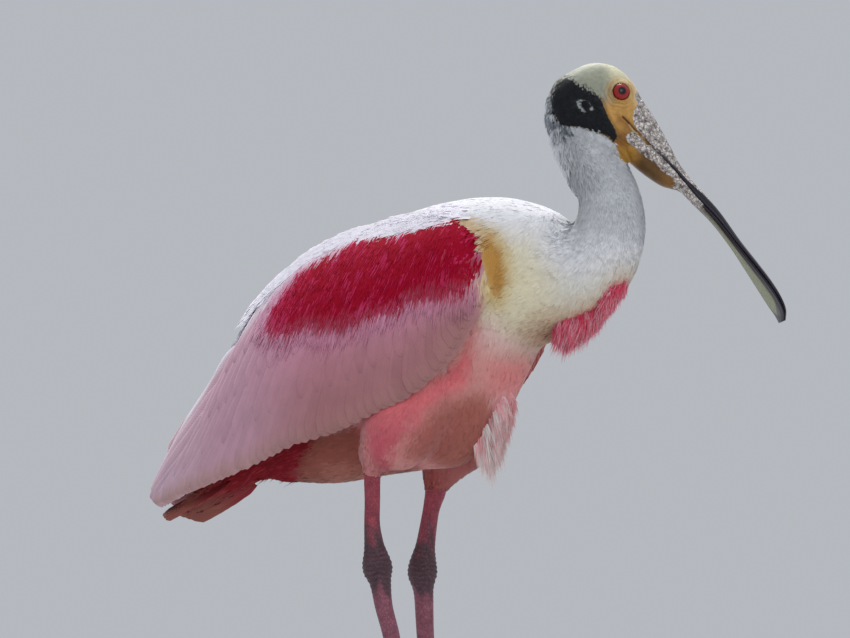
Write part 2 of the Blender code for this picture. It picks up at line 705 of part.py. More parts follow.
def nostrils(bill):
    """Two slits beside the ridge of the upper bill, near its root."""
    for side in (-1, 1):
        centre = head_point(*NOSTRIL_AT, side * NOSTRIL_SIDE)
        along = unit(head_point(BILL[3][0], BILL[3][1]) - head_point(BILL[0][0], BILL[0][1]))
        outward = unit(HEAD_LEFT * side + np.cross(HEAD_LEFT, along) * NOSTRIL_TURN)
        axes = (along, np.cross(outward, along), outward)
        slit = (NOSTRIL_LENGTH / 2, NOSTRIL_WIDTH, NOSTRIL_DEPTH)
        boolean(bill, ball("nostril", centre, slit, axes, 8, 10), "DIFFERENCE")
    return bill


def wing_point(side, along, height):
    """A point on the folded wing: share of the way to its tip, and share of the way to its lower edge."""
    rows = np.array(WING)
    rows = np.vstack([2 * rows[0] - rows[1], rows, 2 * rows[-1] - rows[-2]])
    place = along * (len(rows) - 3)
    i = min(max(int(place), 0), len(rows) - 4)
    row = between(rows[i : i + 4], place - i)
    ridge = np.array((row[0], side * row[1], row[2]))
    edge = np.array((row[3], side * row[4], row[5]))
    way = unit(np.cross((1.0, 0.0, 0.0), edge - ridge)) * side
    crown = (ridge + edge) / 2 + way * 2 * row[6]
    near = 1 - height
    return near**2 * ridge + 2 * height * near * crown + height**2 * edge


def wing_normal(side, along, height):
    """The way out of the wing's surface."""
    step = 0.02
    lengthwise = wing_point(side, along + step, height) - wing_point(side, along - step, height)
    crosswise = wing_point(side, along, height + step) - wing_point(side, along, height - step)
    normal = unit(np.cross(lengthwise, crosswise))
    return normal if normal[1] * side + normal[2] * 0.5 > 0 else -normal


def wing_depth(along):
    """The wing's thickness at a share of the way to its tip."""
    return np.interp(along * (len(WING) - 1), range(len(WING)), [row[7] for row in WING])


def wing_core(side, name, inset, added_depth, end, edge):
    """The wing as a plain thick slab, out to the given shares of its length and height."""
    outer = []
    inner = []
    shares = np.linspace(0, 1, WING_ACROSS)
    profile = read(WING_PROFILE, shares)
    for along in np.linspace(0, end, WING_ALONG):
        face = []
        back = []
        for height, thick in zip(shares * edge, profile):
            normal = wing_normal(side, along, height)
            face.append(wing_point(side, along, height) - normal * inset)
            back.append(face[-1] - normal * (wing_depth(along) * thick + added_depth))
        outer.append(face)
        inner.append(back)
    return slab(name, np.array(outer), np.array(inner))


def wing_room(side):
    """The space of a wing and its feathers, as a cutter for what lies under it."""
    return wing_core(side, "wing_room", -WING_ROOM_OUTSIDE, WING_ROOM_DEPTH, WING_ROOM_END, WING_ROOM_EDGE)


def plate(path, normals, widths, thicknesses, roll, name="vane"):
    """A thin tapered plate along a path, its two long edges tilted by the roll."""
    path = np.array(path)
    ways = np.gradient(path, axis=0)
    outer = []
    inner = []
    for point, way, normal, width, thickness in zip(path, ways, normals, widths, thicknesses):
        across = unit(np.cross(normal, way))
        row = [point + (across * width + normal * roll) * place for place in (-0.5, 0.5)]
        outer.append(row)
        inner.append([p - normal * thickness for p in row])
    return slab(name, np.array(outer), np.array(inner))


def vane_widths(width):
    return width * read(VANE_SHAPE, np.linspace(0, 1, VANE_ROWS))


def wing_vane(side, root, tip, width, lift):
    """One feather lying on the wing from its root to its tip."""
    path = []
    normals = []
    sunk = min(VANE_SUNK, VANE_SUNK_SHARE * wing_depth(root[0]))
    for share in np.linspace(0, 1, VANE_ROWS):
        along = root[0] + (tip[0] - root[0]) * share**VANE_SWEEP
        height = root[1] + (tip[1] - root[1]) * share
        normal = wing_normal(side, along, height)
        raised = np.interp(share, (0.0, 0.5, 1.0), (-sunk, 0.0, lift))
        path.append(wing_point(side, along, height) + normal * raised)
        normals.append(normal)
    thicknesses = np.linspace(VANE_THICKNESS, VANE_TIP_THICKNESS, VANE_ROWS)
    return plate(path, normals, vane_widths(width), thicknesses, VANE_ROLL * side)


def wing_vanes(side):
    """Primaries and secondaries, two rows of coverts, and the tertials that cover the rump."""
    vanes = []
    for count, first, last, tip_height, root_height, sweep, growth, wide, narrow in WING_TIERS:
        for share in np.linspace(0, 1, count):
            along = first + (last - first) * share
            root = (along - sweep - growth * along, root_height)
            width = wide + (narrow - wide) * share
            vanes.append(wing_vane(side, root, (along, tip_height), width, VANE_LIFT))
    for along, height in WING_POINT:
        root = (along - WING_POINT_LENGTH, WING_POINT_ROOT[0] + WING_POINT_ROOT[1] * height)
        vanes.append(wing_vane(side, root, (along, height), WING_TIERS[0][-1], VANE_LIFT))
    return vanes


def wing(side, torso):
    name = "wing_left" if side > 0 else "wing_right"
    body = wing_core(side, name, WING_CORE_INSET, 0.0, WING_CORE_END, WING_CORE_EDGE)
    fused(body, wing_vanes(side))
    boolean(body, swollen(torso), "DIFFERENCE", "MANIFOLD")
    return trimmed(body, np.zeros(3), LEFT * -side)


def tail(torso):
    """A short fleshy root with the tail feathers above and the under-tail coverts below."""
    rings = []
    for top_x, top_z, bottom_x, bottom_z, half_width in smooth_rows(TAIL[:TAIL_CORE_END], TAIL_RINGS):
        top = np.array((top_x, 0.0, top_z))
        bottom = np.array((bottom_x, 0.0, bottom_z))
        rings.append(oval(top, bottom, LEFT, half_width, TAIL_SIDES))
    body = loft("tail", rings)
    vanes = []
    for count, root_x, root_spread, root_z, tip_x, tip_spread, tip_z, shorter, lower, width in TAIL_FEATHERS:
        for place in np.linspace(-1, 1, count):
            root = np.array((root_x, place * root_spread, root_z))
            tip_at = (tip_x + shorter * place**2, place * tip_spread, tip_z - lower * place**2)
            roll = -place * VANE_ROLL
            vanes.append(lock(root, (root + tip_at) / 2, np.array(tip_at), UP, width, VANE_THICKNESS, roll))
    fused(body, vanes)
    for side in (-1, 1):
        boolean(body, wing_room(side), "DIFFERENCE", "MANIFOLD")
    return boolean(body, swollen(torso), "DIFFERENCE", "MANIFOLD")


def lock(root, bend, tip, outward, width, thickness, roll=0.0):
    """A flat tapered lock from its root past a bend to its tip."""
    shares = np.linspace(0, 1, LOCK_ROWS)
    path = [root * (1 - t) ** 2 + 2 * bend * t * (1 - t) + tip * t**2 for t in shares]
    widths = width * read(LOCK_SHAPE, shares)
    thicknesses = np.interp(shares, (0.0, 1.0), (thickness, VANE_TIP_THICKNESS))
    return plate(path, [outward] * LOCK_ROWS, widths, thicknesses, roll, "lock")


def crop_locks(neck, torso):
    """Locks that hang from the lower side of the neck's root."""
    rows = np.array(NECK)
    locks = []
    for place, spread, count, fall, trail in CROP_LOCKS:
        i = int(place)
        row = between(rows[i - 1 : i + 3], place - i)
        way = unit(between(rows[i - 1 : i + 3], place - i + 0.1)[:3] - row[:3])
        down = np.cross(way, LEFT)
        down = down * math.copysign(1.0, -down[2])
        for number, turn in enumerate(np.radians(np.linspace(-spread, spread, count))):
            outward = unit(down * math.cos(turn) + LEFT * math.sin(turn))
            skin = row[:3] + outward * row[3]
            reach = 1.0 if number % 2 else CROP_LOCK_SHORT
            tip = skin - np.array((trail, 0.0, fall)) * reach
            bend = skin + outward * LOCK_BEND
            root = skin - outward * LOCK_SUNK
            locks.append(lock(root, bend, tip, outward, CROP_LOCK_WIDTH, LOCK_THICKNESS))
    fused(neck, locks)
    return boolean(neck, swollen(torso), "DIFFERENCE", "MANIFOLD")


def breast_locks(torso):
    """Locks that hang from the breast before the thighs."""
    locks = []
    for row in BREAST_LOCKS:
        root = np.array(row[:3])
        tip = np.array(row[3:])
        bend = (root + tip) / 2 + BREAST_LOCK_BEND
        outward = unit((1.0, row[1] * BREAST_LOCK_TURN, 0.0))
        locks.append(lock(root, bend, tip, outward, BREAST_LOCK_WIDTH, LOCK_THICKNESS))
    return fused(torso, locks)


def leg(side_name, side, thigh, rows, thigh_end, torso):
    """Feathered thigh, bare shank, and tarsus with its ankle, parted at level cuts."""
    thigh_node = tube("thigh_" + side_name, thigh, THIGH_SIDES, THIGH_RINGS)
    boolean(thigh_node, swollen(torso), "DIFFERENCE")
    boolean(thigh_node, wing_room(side), "DIFFERENCE")
    trimmed(thigh_node, UP * thigh_end, -UP)
    shank = tube("shank_" + side_name, rows, LEG_SIDES, LEG_RINGS)
    trimmed(shank, UP * thigh_end, UP)
    trimmed(shank, UP * FOOT_CUT, -UP)
    tarsus = parted(shank, "tarsus_" + side_name, UP * ANKLE_CUT, -UP)
    return {node.name: node for node in (thigh_node, shank, tarsus)}


def foot(side_name, side, at, heading, leg_end):
    """Four toes fused at their roots with short webs, flat underneath, and their claws."""
    nodes = {}
    centre = np.array((at[0], at[1], HEEL_HEIGHT))
    rows = (
        leg_end[-2],
        leg_end[-1],
        (*centre, leg_end[-1][3] * KNUCKLE[0]),
        (*(centre - UP * KNUCKLE[2]), leg_end[-1][3] * KNUCKLE[1]),
    )
    body = tube("foot_" + side_name, rows, LEG_SIDES, 2 * len(rows))
    ends = {}
    for name, spread, length, radius in TOES:
        turn = math.radians(heading + side * spread * -1)
        way = np.array((math.cos(turn), math.sin(turn), 0.0))
        tip_height = TOE_TIP_RADIUS - TOE_SINK
        toe_rows = [(*(centre - (way + UP) * TOE_START), radius * TOE_SHAPE[1][1])]
        for share, thick in TOE_SHAPE:
            toe_rows.append((*(at + way[:2] * length * share), radius * thick - TOE_SINK, radius * thick))
        toe_rows.append((*(at + way[:2] * length), tip_height, TOE_TIP_RADIUS))
        boolean(body, tube("toe", toe_rows, FOOT_SIDES, TOE_RINGS), "UNION")
        ends[name] = (way, length)
        tip = np.array((*(at + way[:2] * (length + GAP)), tip_height))
        claw_rows = []
        for share, rise, thick in CLAW_SHAPE:
            claw_rows.append((*(tip + way * CLAW_LENGTH * share + UP * rise), CLAW_RADIUS * thick))
        claw = tube(f"claw_{side_name}_{name}", claw_rows, CLAW_SIDES, CLAW_RINGS)
        nodes[claw.name] = above_floor(claw)
    for other in ("inner", "outer"):
        boolean(body, web(at, ends["middle"], ends[other]), "UNION")
    trimmed(body, UP * FOOT_CUT, UP)
    nodes[body.name] = above_floor(body)
    return nodes


def web(at, first, second):
    """A thin skin between the roots of two toes, with a hollow front edge."""
    rows = []
    start = np.array(at)
    for share in np.linspace(0, 1, 5):
        reach = 1 - WEB_HOLLOW * math.sin(math.pi * share)
        far = (1 - share) * first[0][:2] * first[1] + share * second[0][:2] * second[1]
        near = start + far * WEB_START
        edge = start + far * WEB_REACH * reach
        rows.append([(*p, z) for p, z in zip((near, (near + edge) / 2, edge), WEB_HEIGHTS)])
    top = np.array(rows)
    low = top - np.array((0.0, 0.0, WEB_THICKNESS))
    return slab("web", top, low)


def above_floor(obj):
    """Cut an object flat at the floor."""
    floor = block("floor", (0.0, 0.0, -CUTTER_SIZE / 2), (CUTTER_SIZE,) * 3, np.eye(3))
    return boolean(obj, floor, "DIFFERENCE")


def paint(obj, colour, roughness):
    """Give a node its own Principled material and smooth shading."""
    material = bpy.data.materials.new(obj.name)
    material.use_nodes = True
    shader = material.node_tree.nodes["Principled BSDF"]
    shader.inputs["Base Color"].default_value = colour
    shader.inputs["Roughness"].default_value = roughness
    shader.inputs["Metallic"].default_value = 0.0
    material.diffuse_color = colour
    obj.data.materials.clear()
    obj.data.materials.append(material)
    obj.data.shade_smooth()
    obj.data.set_sharp_from_angle(angle=math.radians(SHARP_ANGLE))


def colour_of(name):
    table = (
        ("torso", WHITE, 0.8),
        ("neck", NECK_WHITE, 0.8),
        ("head", SKIN, 0.6),
        ("eye", EYE_RED, 0.15),
        ("ear", EAR_GREY, 0.6),
        ("bill", BILL_GREY, 0.45),
        ("wing", PINK, 0.75),
        ("tail", CRIMSON, 0.75),
        ("thigh", PINK, 0.8),
        ("claw", CLAW_BLACK, 0.4),
    )
    for start, colour, roughness in table:
        if name.startswith(start):
            return colour, roughness
    return LEG_RED, 0.6


def centred(nodes):
    """Move every node so that the origin is under the middle of the whole model's box."""
    corners = np.array([v.co for obj in nodes.values() for v in obj.data.vertices])
    low = corners.min(axis=0)
    high = corners.max(axis=0)
    shift = Vector((-(low[0] + high[0]) / 2, -(low[1] + high[1]) / 2, 0.0))
    for obj in nodes.values():
        for vert in obj.data.vertices:
            vert.co += shift


def main():
    for obj in list(bpy.data.objects):
        bpy.data.objects.remove(obj)
    collection = bpy.data.collections.new("roseate_spoonbill")
    bpy.context.scene.collection.children.link(collection)

    nodes = flesh()
    torso = nodes["torso"]
    nodes.update(head_features(nodes["head"]))
    nodes["bill_upper"] = nostrils(mandible("bill_upper", True))
    nodes["bill_lower"] = mandible("bill_lower", False)
    nodes["wing_right"] = wing(-1, torso)
    nodes["wing_left"] = wing(1, torso)
    nodes["tail"] = tail(torso)
    nodes.update(leg("right", -1, THIGH_RIGHT, LEG_RIGHT, THIGH_END_RIGHT, torso))
    nodes.update(leg("left", 1, THIGH_LEFT, LEG_LEFT, THIGH_END_LEFT, torso))
    breast_locks(torso)
    crop_locks(nodes["neck_lower"], torso)
    nodes.update(foot("right", -1, FOOT_RIGHT_AT, FOOT_RIGHT_HEADING, LEG_RIGHT[-2:]))
    nodes.update(foot("left", 1, FOOT_LEFT_AT, FOOT_LEFT_HEADING, LEG_LEFT[-2:]))

    centred(nodes)
    for name, obj in nodes.items():
        paint(obj, *colour_of(name))
        for old in list(obj.users_collection):
            old.objects.unlink(obj)
        collection.objects.link(obj)


main()
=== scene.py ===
"""Roseate spoonbill, life size: skin, plumage, bill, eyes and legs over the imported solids.

Lengths are in metres in the bird's own frame: the floor at z = 0, the bird looking along +X with its left
side at +Y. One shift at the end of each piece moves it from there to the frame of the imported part.
"""

import math

import bmesh
import bpy
import numpy as np
from mathutils import Matrix, Vector
from mathutils.bvhtree import BVHTree


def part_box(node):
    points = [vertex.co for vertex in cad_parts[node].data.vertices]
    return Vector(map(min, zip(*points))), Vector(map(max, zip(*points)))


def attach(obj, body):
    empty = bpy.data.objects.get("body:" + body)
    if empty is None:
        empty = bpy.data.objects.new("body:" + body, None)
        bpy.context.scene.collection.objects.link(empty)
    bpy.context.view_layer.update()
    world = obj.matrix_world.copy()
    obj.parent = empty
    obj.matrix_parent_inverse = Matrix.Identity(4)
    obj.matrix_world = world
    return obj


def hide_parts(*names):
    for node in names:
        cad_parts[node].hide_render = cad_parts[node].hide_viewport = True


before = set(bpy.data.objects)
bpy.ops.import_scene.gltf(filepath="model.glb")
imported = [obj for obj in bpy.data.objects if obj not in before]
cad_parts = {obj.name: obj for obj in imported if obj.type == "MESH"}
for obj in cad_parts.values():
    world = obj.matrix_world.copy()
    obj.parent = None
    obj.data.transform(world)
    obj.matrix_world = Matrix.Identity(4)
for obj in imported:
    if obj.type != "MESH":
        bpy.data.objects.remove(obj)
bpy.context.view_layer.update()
RNG = np.random.default_rng(20)

UP = np.array((0.0, 0.0, 1.0))
LEFT = np.array((0.0, 1.0, 0.0))
AHEAD = np.array((1.0, 0.0, 0.0))
MM = 0.001
# Head and upper neck lie ahead of this x
HEAD_BEGINS = 0.09

# Torso, from rump to shoulders: top x and z, bottom x and z, half width
TORSO = (
    (-0.134, 0.226, -0.130, 0.202, 0.009),
    (-0.126, 0.258, -0.112, 0.190, 0.022),
    (-0.104, 0.298, -0.088, 0.187, 0.033),
    (-0.074, 0.330, -0.060, 0.186, 0.041),
    (-0.036, 0.356, -0.028, 0.190, 0.047),
    (0.004, 0.372, 0.008, 0.194, 0.050),
    (0.040, 0.3790, 0.034, 0.196, 0.050),
    (0.070, 0.379, 0.054, 0.209, 0.048),
    (0.093, 0.374, 0.068, 0.232, 0.043),
    (0.110, 0.367, 0.082, 0.259, 0.037),
    (0.118, 0.358, 0.098, 0.280, 0.031),
)
TORSO_FULLNESS = 0.88
TORSO_KEEL = 0.35
# Neck, from inside the body to inside the head: x, y, z and radius
NECK = (
    (0.066, 0.000, 0.306, 0.040),
    (0.093, 0.000, 0.316, 0.039),
    (0.1195, 0.000, 0.321, 0.035),
    (0.139, 0.001, 0.332, 0.0285),
    (0.1475, 0.003, 0.350, 0.0250),
    (0.1479, 0.005, 0.3657, 0.0226),
    (0.1439, 0.007, 0.3795, 0.0207),
    (0.1316, 0.009, 0.3984, 0.0208),
    (0.1205, 0.0105, 0.4158, 0.0203),
    (0.1180, 0.0113, 0.4300, 0.0120),
)
# Head: along its own middle plane and z for top and bottom, and half width
HEAD_YAW = 35.0
HEAD_REFERENCE = (0.1316, 0.009)
HEAD = (
    (-0.0335, 0.4300, -0.0330, 0.4240, 0.004),
    (-0.0310, 0.4445, -0.0245, 0.4105, 0.0145),
    (-0.0234, 0.4539, -0.0134, 0.4070, 0.0185),
    (-0.0130, 0.4605, -0.0013, 0.4057, 0.0203),
    (-0.0005, 0.4655, 0.0095, 0.4062, 0.0208),
    (0.0137, 0.4640, 0.0162, 0.4062, 0.0192),
    (0.0244, 0.4563, 0.0202, 0.4049, 0.0168),
    (0.0312, 0.4464, 0.0225, 0.4028, 0.0146),
    (0.0342, 0.4403, 0.0216, 0.4026, 0.0132),
)
EYE_AT = (0.0172, 0.4443)
EYE_RADIUS = 0.0068
EYE_SIDE = 0.0122
EAR_AT = (-0.0072, 0.4343)
# How far each eye looks ahead and up, against how far it looks sideways
EYE_AHEAD = 0.12
EYE_UP = 0.10
# Lids: radius of their opening, and how deep the skin lies in it; then the width of a fold round the eye
LID_RIM = 0.0059
LID_DEPTH = 0.0016
FOLD_WIDTH = 0.0013
# Radii between which iris and pupil fade out
IRIS_EDGE = (0.0057, 0.0050)
PUPIL_EDGE = (0.0026, 0.0022)
# Bill: along the head and z for top and bottom, share of the height below the mouth line, half width
BILL = (
    (0.0342, 0.4403, 0.0216, 0.4026, 0.52, 0.0132),
    (0.0406, 0.4310, 0.0296, 0.3953, 0.50, 0.0126),
    (0.0464, 0.4211, 0.0384, 0.3886, 0.51, 0.0116),
    (0.0526, 0.4096, 0.0471, 0.3833, 0.54, 0.0106),
    (0.0580, 0.3993, 0.0539, 0.3814, 0.54, 0.0100),
    (0.0654, 0.3889, 0.0603, 0.3791, 0.45, 0.0095),
    (0.0735, 0.3801, 0.0677, 0.3717, 0.38, 0.0089),
    (0.0862, 0.3654, 0.0806, 0.3590, 0.40, 0.0084),
    (0.0986, 0.3475, 0.0932, 0.3433, 0.42, 0.0108),
    (0.1107, 0.3310, 0.1048, 0.3270, 0.45, 0.0175),
    (0.1190, 0.3190, 0.1132, 0.3150, 0.45, 0.0225),
    (0.1250, 0.3090, 0.1196, 0.3052, 0.48, 0.0232),
    (0.1288, 0.3005, 0.1244, 0.2975, 0.50, 0.0180),
    (0.1296, 0.2935, 0.1262, 0.2920, 0.55, 0.0080),
)
# Folded wing, from shoulder to tip: top edge x, y, z, lower edge x, y, z, bulge and thickness
WING = (
    (0.0706, 0.0360, 0.3490, 0.0800, 0.0420, 0.3120, 0.004, 0.010),
    (0.0501, 0.0330, 0.3638, 0.0725, 0.0550, 0.2890, 0.011, 0.017),
    (0.0279, 0.0280, 0.3667, 0.0565, 0.0600, 0.2620, 0.016, 0.020),
    (0.0016, 0.0230, 0.3642, 0.0335, 0.0630, 0.2430, 0.019, 0.020),
    (-0.0351, 0.0180, 0.3587, 0.0045, 0.0630, 0.2310, 0.020, 0.020),
    (-0.0686, 0.0140, 0.3483, -0.0300, 0.0600, 0.2190, 0.020, 0.018),
    (-0.0977, 0.0100, 0.3328, -0.0690, 0.0540, 0.2105, 0.018, 0.015),
    (-0.1222, 0.0060, 0.3147, -0.1055, 0.0450, 0.1985, 0.015, 0.011),
    (-0.1411, 0.0035, 0.2941, -0.1380, 0.0360, 0.1900, 0.012, 0.008),
    (-0.1630, 0.0020, 0.2600, -0.1680, 0.0265, 0.1830, 0.008, 0.006),
    (-0.1880, 0.0015, 0.2260, -0.1900, 0.0180, 0.1770, 0.005, 0.005),
    (-0.2134, 0.0015, 0.1835, -0.2055, 0.0100, 0.1747, 0.001, 0.003),
)
WING_PROFILE = ((0.0, 0.55), (0.4, 1.0), (0.7, 0.8), (1.0, 0.25))
# Tail root: top x and z, bottom x and z, half width
TAIL = (
    (-0.112, 0.236, -0.106, 0.194, 0.016),
    (-0.140, 0.212, -0.130, 0.188, 0.019),
    (-0.165, 0.190, -0.158, 0.176, 0.019),
    (-0.184, 0.1735, -0.180, 0.1675, 0.016),
)
# Legs: x, y, z and radius
THIGHS = {
    "right": (
        (0.034, -0.026, 0.262, 0.030),
        (0.018, -0.032, 0.238, 0.031),
        (0.004, -0.035, 0.216, 0.027),
        (-0.008, -0.035, 0.203, 0.017),
        (-0.013, -0.034, 0.1935, 0.0088),
        (-0.0135, -0.034, 0.188, 0.0062),
    ),
    "left": (
        (0.036, 0.026, 0.262, 0.030),
        (0.022, 0.032, 0.236, 0.031),
        (0.009, 0.035, 0.213, 0.027),
        (0.0015, 0.035, 0.198, 0.018),
        (-0.0025, 0.034, 0.186, 0.0104),
        (-0.0035, 0.034, 0.180, 0.0078),
    ),
}
LEGS = {
    "right": (
        (-0.0120, -0.034, 0.2060, 0.0060),
        (-0.0135, -0.034, 0.1895, 0.0056),
        (-0.0134, -0.034, 0.1740, 0.0053),
        (-0.0136, -0.034, 0.1581, 0.0054),
        (-0.0122, -0.034, 0.1450, 0.0066),
        (-0.0111, -0.034, 0.1387, 0.0080),
        (-0.0100, -0.034, 0.1320, 0.0098),
        (-0.0088, -0.034, 0.1260, 0.0098),
        (-0.0070, -0.034, 0.1180, 0.0072),
        (-0.0043, -0.034, 0.1023, 0.0060),
        (0.0022, -0.035, 0.0823, 0.0057),
        (0.0110, -0.0365, 0.0470, 0.0053),
        (0.0178, -0.0378, 0.0200, 0.0056),
        (0.0195, -0.0383, 0.0078, 0.0062),
        (0.0195, -0.0383, 0.0043, 0.0046),
    ),
    "left": (
        (-0.0010, 0.034, 0.1980, 0.0082),
        (-0.0035, 0.034, 0.1815, 0.0072),
        (-0.0056, 0.034, 0.1740, 0.0062),
        (-0.0078, 0.034, 0.1649, 0.0057),
        (-0.0112, 0.034, 0.1460, 0.0066),
        (-0.0126, 0.034, 0.1377, 0.0082),
        (-0.0136, 0.034, 0.1300, 0.0099),
        (-0.0138, 0.034, 0.1240, 0.0099),
        (-0.0138, 0.035, 0.1160, 0.0074),
        (-0.0138, 0.036, 0.1080, 0.0066),
        (-0.0137, 0.038, 0.0820, 0.0060),
        (-0.0130, 0.043, 0.0470, 0.0055),
        (-0.0125, 0.046, 0.0200, 0.0058),
        (-0.0122, 0.0463, 0.0078, 0.0063),
        (-0.0122, 0.0463, 0.0043, 0.0047),
    ),
}
# Feet: side, place above the toes and heading; and each toe's spread, length and radius at its root
FEET = {"right": (-1, (0.0195, -0.0383), 2.0), "left": (1, (-0.0122, 0.0463), 16.0)}
TOES = (
    ("middle", 0.0, 0.080, 0.0047, 4),
    ("inner", 34.0, 0.064, 0.0043, 3),
    ("outer", -33.0, 0.070, 0.0043, 4),
    ("hind", 176.0, 0.036, 0.0038, 2),
)
TOE_TIP_RADIUS = 0.0026
TOE_SINK = 0.0007
HEEL_HEIGHT = 0.0078
CLAW_LENGTH = 0.0085
CLAW_RADIUS = 0.0020

# Camera: azimuth, elevation, distance, width of the picture at the bird, and the point it looks at
VIEW_AZIMUTH = 30.0
VIEW_ELEVATION = -4.0
VIEW_DISTANCE = 3.0
VIEW_WIDTH = 0.578
VIEW_TARGET = (0.005889, 0.0034, 0.297886)

# Floor and lights
FLOOR_REACH = 9
FLOOR_GREY = (0.46, 0.47, 0.48)
LIGHT_TARGET = (0, 0, 0.28)

# Fineness of the melted surfaces
SKIN_VOXEL = 0.0019
LEG_VOXEL = 0.00085
MELT_PASSES = 3

# Tufts that are tried on each part of the coat, and the most triangles of one piece
COAT_TUFTS = 35000
BAND_TUFTS = 5600
MANTLE_TUFTS = 3200
CROP_TUFTS = 2200
BREAST_TUFTS = 900
COVERT_TUFTS = 1300
PLUME_TRIES = 15000
PIECE_TRIANGLES = 190000


def rows_at(rows, places):
    """Rows of a table read from a Catmull-Rom curve at places counted in rows."""
    rows = np.asarray(rows, float)
    rows = np.vstack([2 * rows[0] - rows[1], rows, 2 * rows[-1] - rows[-2]])
    places = np.asarray(places, float)
    i = np.clip(places.astype(int), 0, len(rows) - 4)
    t = (places - i)[..., None]
    a, b, c, d = rows[i], rows[i + 1], rows[i + 2], rows[i + 3]
    return 0.5 * (2 * b + (c - a) * t + (2 * a - 5 * b + 4 * c - d) * t**2 + (3 * b - 3 * c + d - a) * t**3)


def smooth_rows(rows, count):
    return rows_at(rows, np.linspace(0, len(rows) - 1, count))


def read(table, shares):
    """Values read straight between the points of a table of share and value."""
    return np.interp(shares, [row[0] for row in table], [row[1] for row in table])


def unit(vectors):
    vectors = np.asarray(vectors, float)
    return vectors / np.maximum(np.linalg.norm(vectors, axis=-1, keepdims=True), 1e-12)


def step(low, high, value):
    """A smooth step from 0 at low to 1 at high."""
    t = np.clip((value - low) / (high - low), 0, 1)
    return t * t * (3 - 2 * t)


def toward(colours, colour, share):
    """Colours moved to another one by a share at each place."""
    return colours + (colour - colours) * np.asarray(share)[..., None]


def side_name(side):
    return "left" if side > 0 else "right"


def rgb(red, green, blue):
    """A colour given as it looks on a screen, from 0 to 255, as linear light."""
    value = np.array((red, green, blue)) / 255.0
    return np.where(value <= 0.04045, value / 12.92, ((value + 0.055) / 1.055) ** 2.4)


YAW = math.radians(HEAD_YAW)
HEAD_AHEAD = np.array((math.cos(YAW), math.sin(YAW), 0.0))
HEAD_LEFT = np.array((-math.sin(YAW), math.cos(YAW), 0.0))
HEAD_ORIGIN = np.array((*HEAD_REFERENCE, 0.0))


def head_point(along, z, side=0.0):
    """A place in the turned head: along its middle plane, z from the floor, and to its left."""
    along, z, side = np.asarray(along)[..., None], np.asarray(z)[..., None], np.asarray(side)[..., None]
    return HEAD_ORIGIN + along * HEAD_AHEAD + side * HEAD_LEFT + z * UP


def in_head(points):
    """Along, side and z of points, in the head's own frame."""
    apart = points - HEAD_ORIGIN
    return apart @ HEAD_AHEAD, apart @ HEAD_LEFT, points[..., 2]


def frame_shift():
    """From the bird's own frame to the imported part's, read at the right eye."""
    low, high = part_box("eye_right")
    found = (np.array(low) + np.array(high)) / 2
    return found - head_point(EYE_AT[0], EYE_AT[1], -EYE_SIDE)


SHIFT = frame_shift()


# Meshes


def mesh_from(name, points, quads, tris, smooth=True):
    """A mesh from arrays of points, of quads and of triangles."""
    mesh = bpy.data.meshes.new(name)
    mesh.vertices.add(len(points))
    mesh.vertices.foreach_set("co", np.asarray(points, np.float32).ravel())
    quads = np.asarray(quads, np.int32).reshape(-1, 4)
    tris = np.asarray(tris, np.int32).reshape(-1, 3)
    corners = np.concatenate([quads.ravel(), tris.ravel()])
    starts = np.concatenate([np.arange(len(quads)) * 4, len(quads) * 4 + np.arange(len(tris)) * 3])
    mesh.loops.add(len(corners))
    mesh.loops.foreach_set("vertex_index", corners)
    mesh.polygons.add(len(starts))
    mesh.polygons.foreach_set("loop_start", starts.astype(np.int32))
    mesh.polygons.foreach_set("use_smooth", np.full(len(starts), smooth))
    mesh.update(calc_edges=True)
    mesh.validate()
    return mesh


def put(name, mesh, material, replaced=()):
    """Show a mesh as a piece of the bird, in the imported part's frame."""
    places = np.empty(len(mesh.vertices) * 3, np.float32)
    mesh.vertices.foreach_get("co", places)
    places = places.reshape(-1, 3) + SHIFT.astype(np.float32)
    mesh.vertices.foreach_set("co", places.ravel())
    mesh.update()
    obj = bpy.data.objects.new(name, mesh)
    bpy.context.scene.collection.objects.link(obj)
    mesh.materials.clear()
    mesh.materials.append(material)
    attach(obj, "root")
    if replaced:
        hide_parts(*replaced)
    return obj


def paint(mesh, colours, name="plumage"):
    """Keep a linear colour at each point of a mesh."""
    layer = mesh.color_attributes.new(name, "FLOAT_COLOR", "POINT")
    values = np.ones((len(mesh.vertices), 4), np.float32)
    values[:, :3] = colours
    layer.data.foreach_set("color", values.ravel())


def keep_number(mesh, name, values):
    """Keep a number at each point of a mesh."""
    layer = mesh.attributes.new(name, "FLOAT", "POINT")
    layer.data.foreach_set("value", np.asarray(values, np.float32).ravel())


def keep_uv(mesh, uv):
    """Keep the bake's map, given at each point of a mesh."""
    layer = mesh.uv_layers.new(name="OFBake")
    corners = np.empty(len(mesh.loops), np.int32)
    mesh.loops.foreach_get("vertex_index", corners)
    layer.data.foreach_set("uv", np.asarray(uv, np.float32)[corners].ravel())


def keep_normals(mesh, wanted, share):
    """Shade a mesh mostly as the soft surface that it lies on."""
    mixed = unit(normals_of(mesh) * (1 - share) + wanted * share)
    layer = mesh.attributes.new("custom_normal", "FLOAT_VECTOR", "POINT")
    layer.data.foreach_set("vector", mixed.astype(np.float32).ravel())


def points_of(mesh):
    places = np.empty(len(mesh.vertices) * 3, np.float32)
    mesh.vertices.foreach_get("co", places)
    return places.reshape(-1, 3).astype(float)


def normals_of(mesh):
    found = np.empty(len(mesh.vertices) * 3, np.float32)
    mesh.vertices.foreach_get("normal", found)
    return found.reshape(-1, 3).astype(float)


def set_points(mesh, points):
    mesh.vertices.foreach_set("co", np.asarray(points, np.float32).ravel())
    mesh.update()


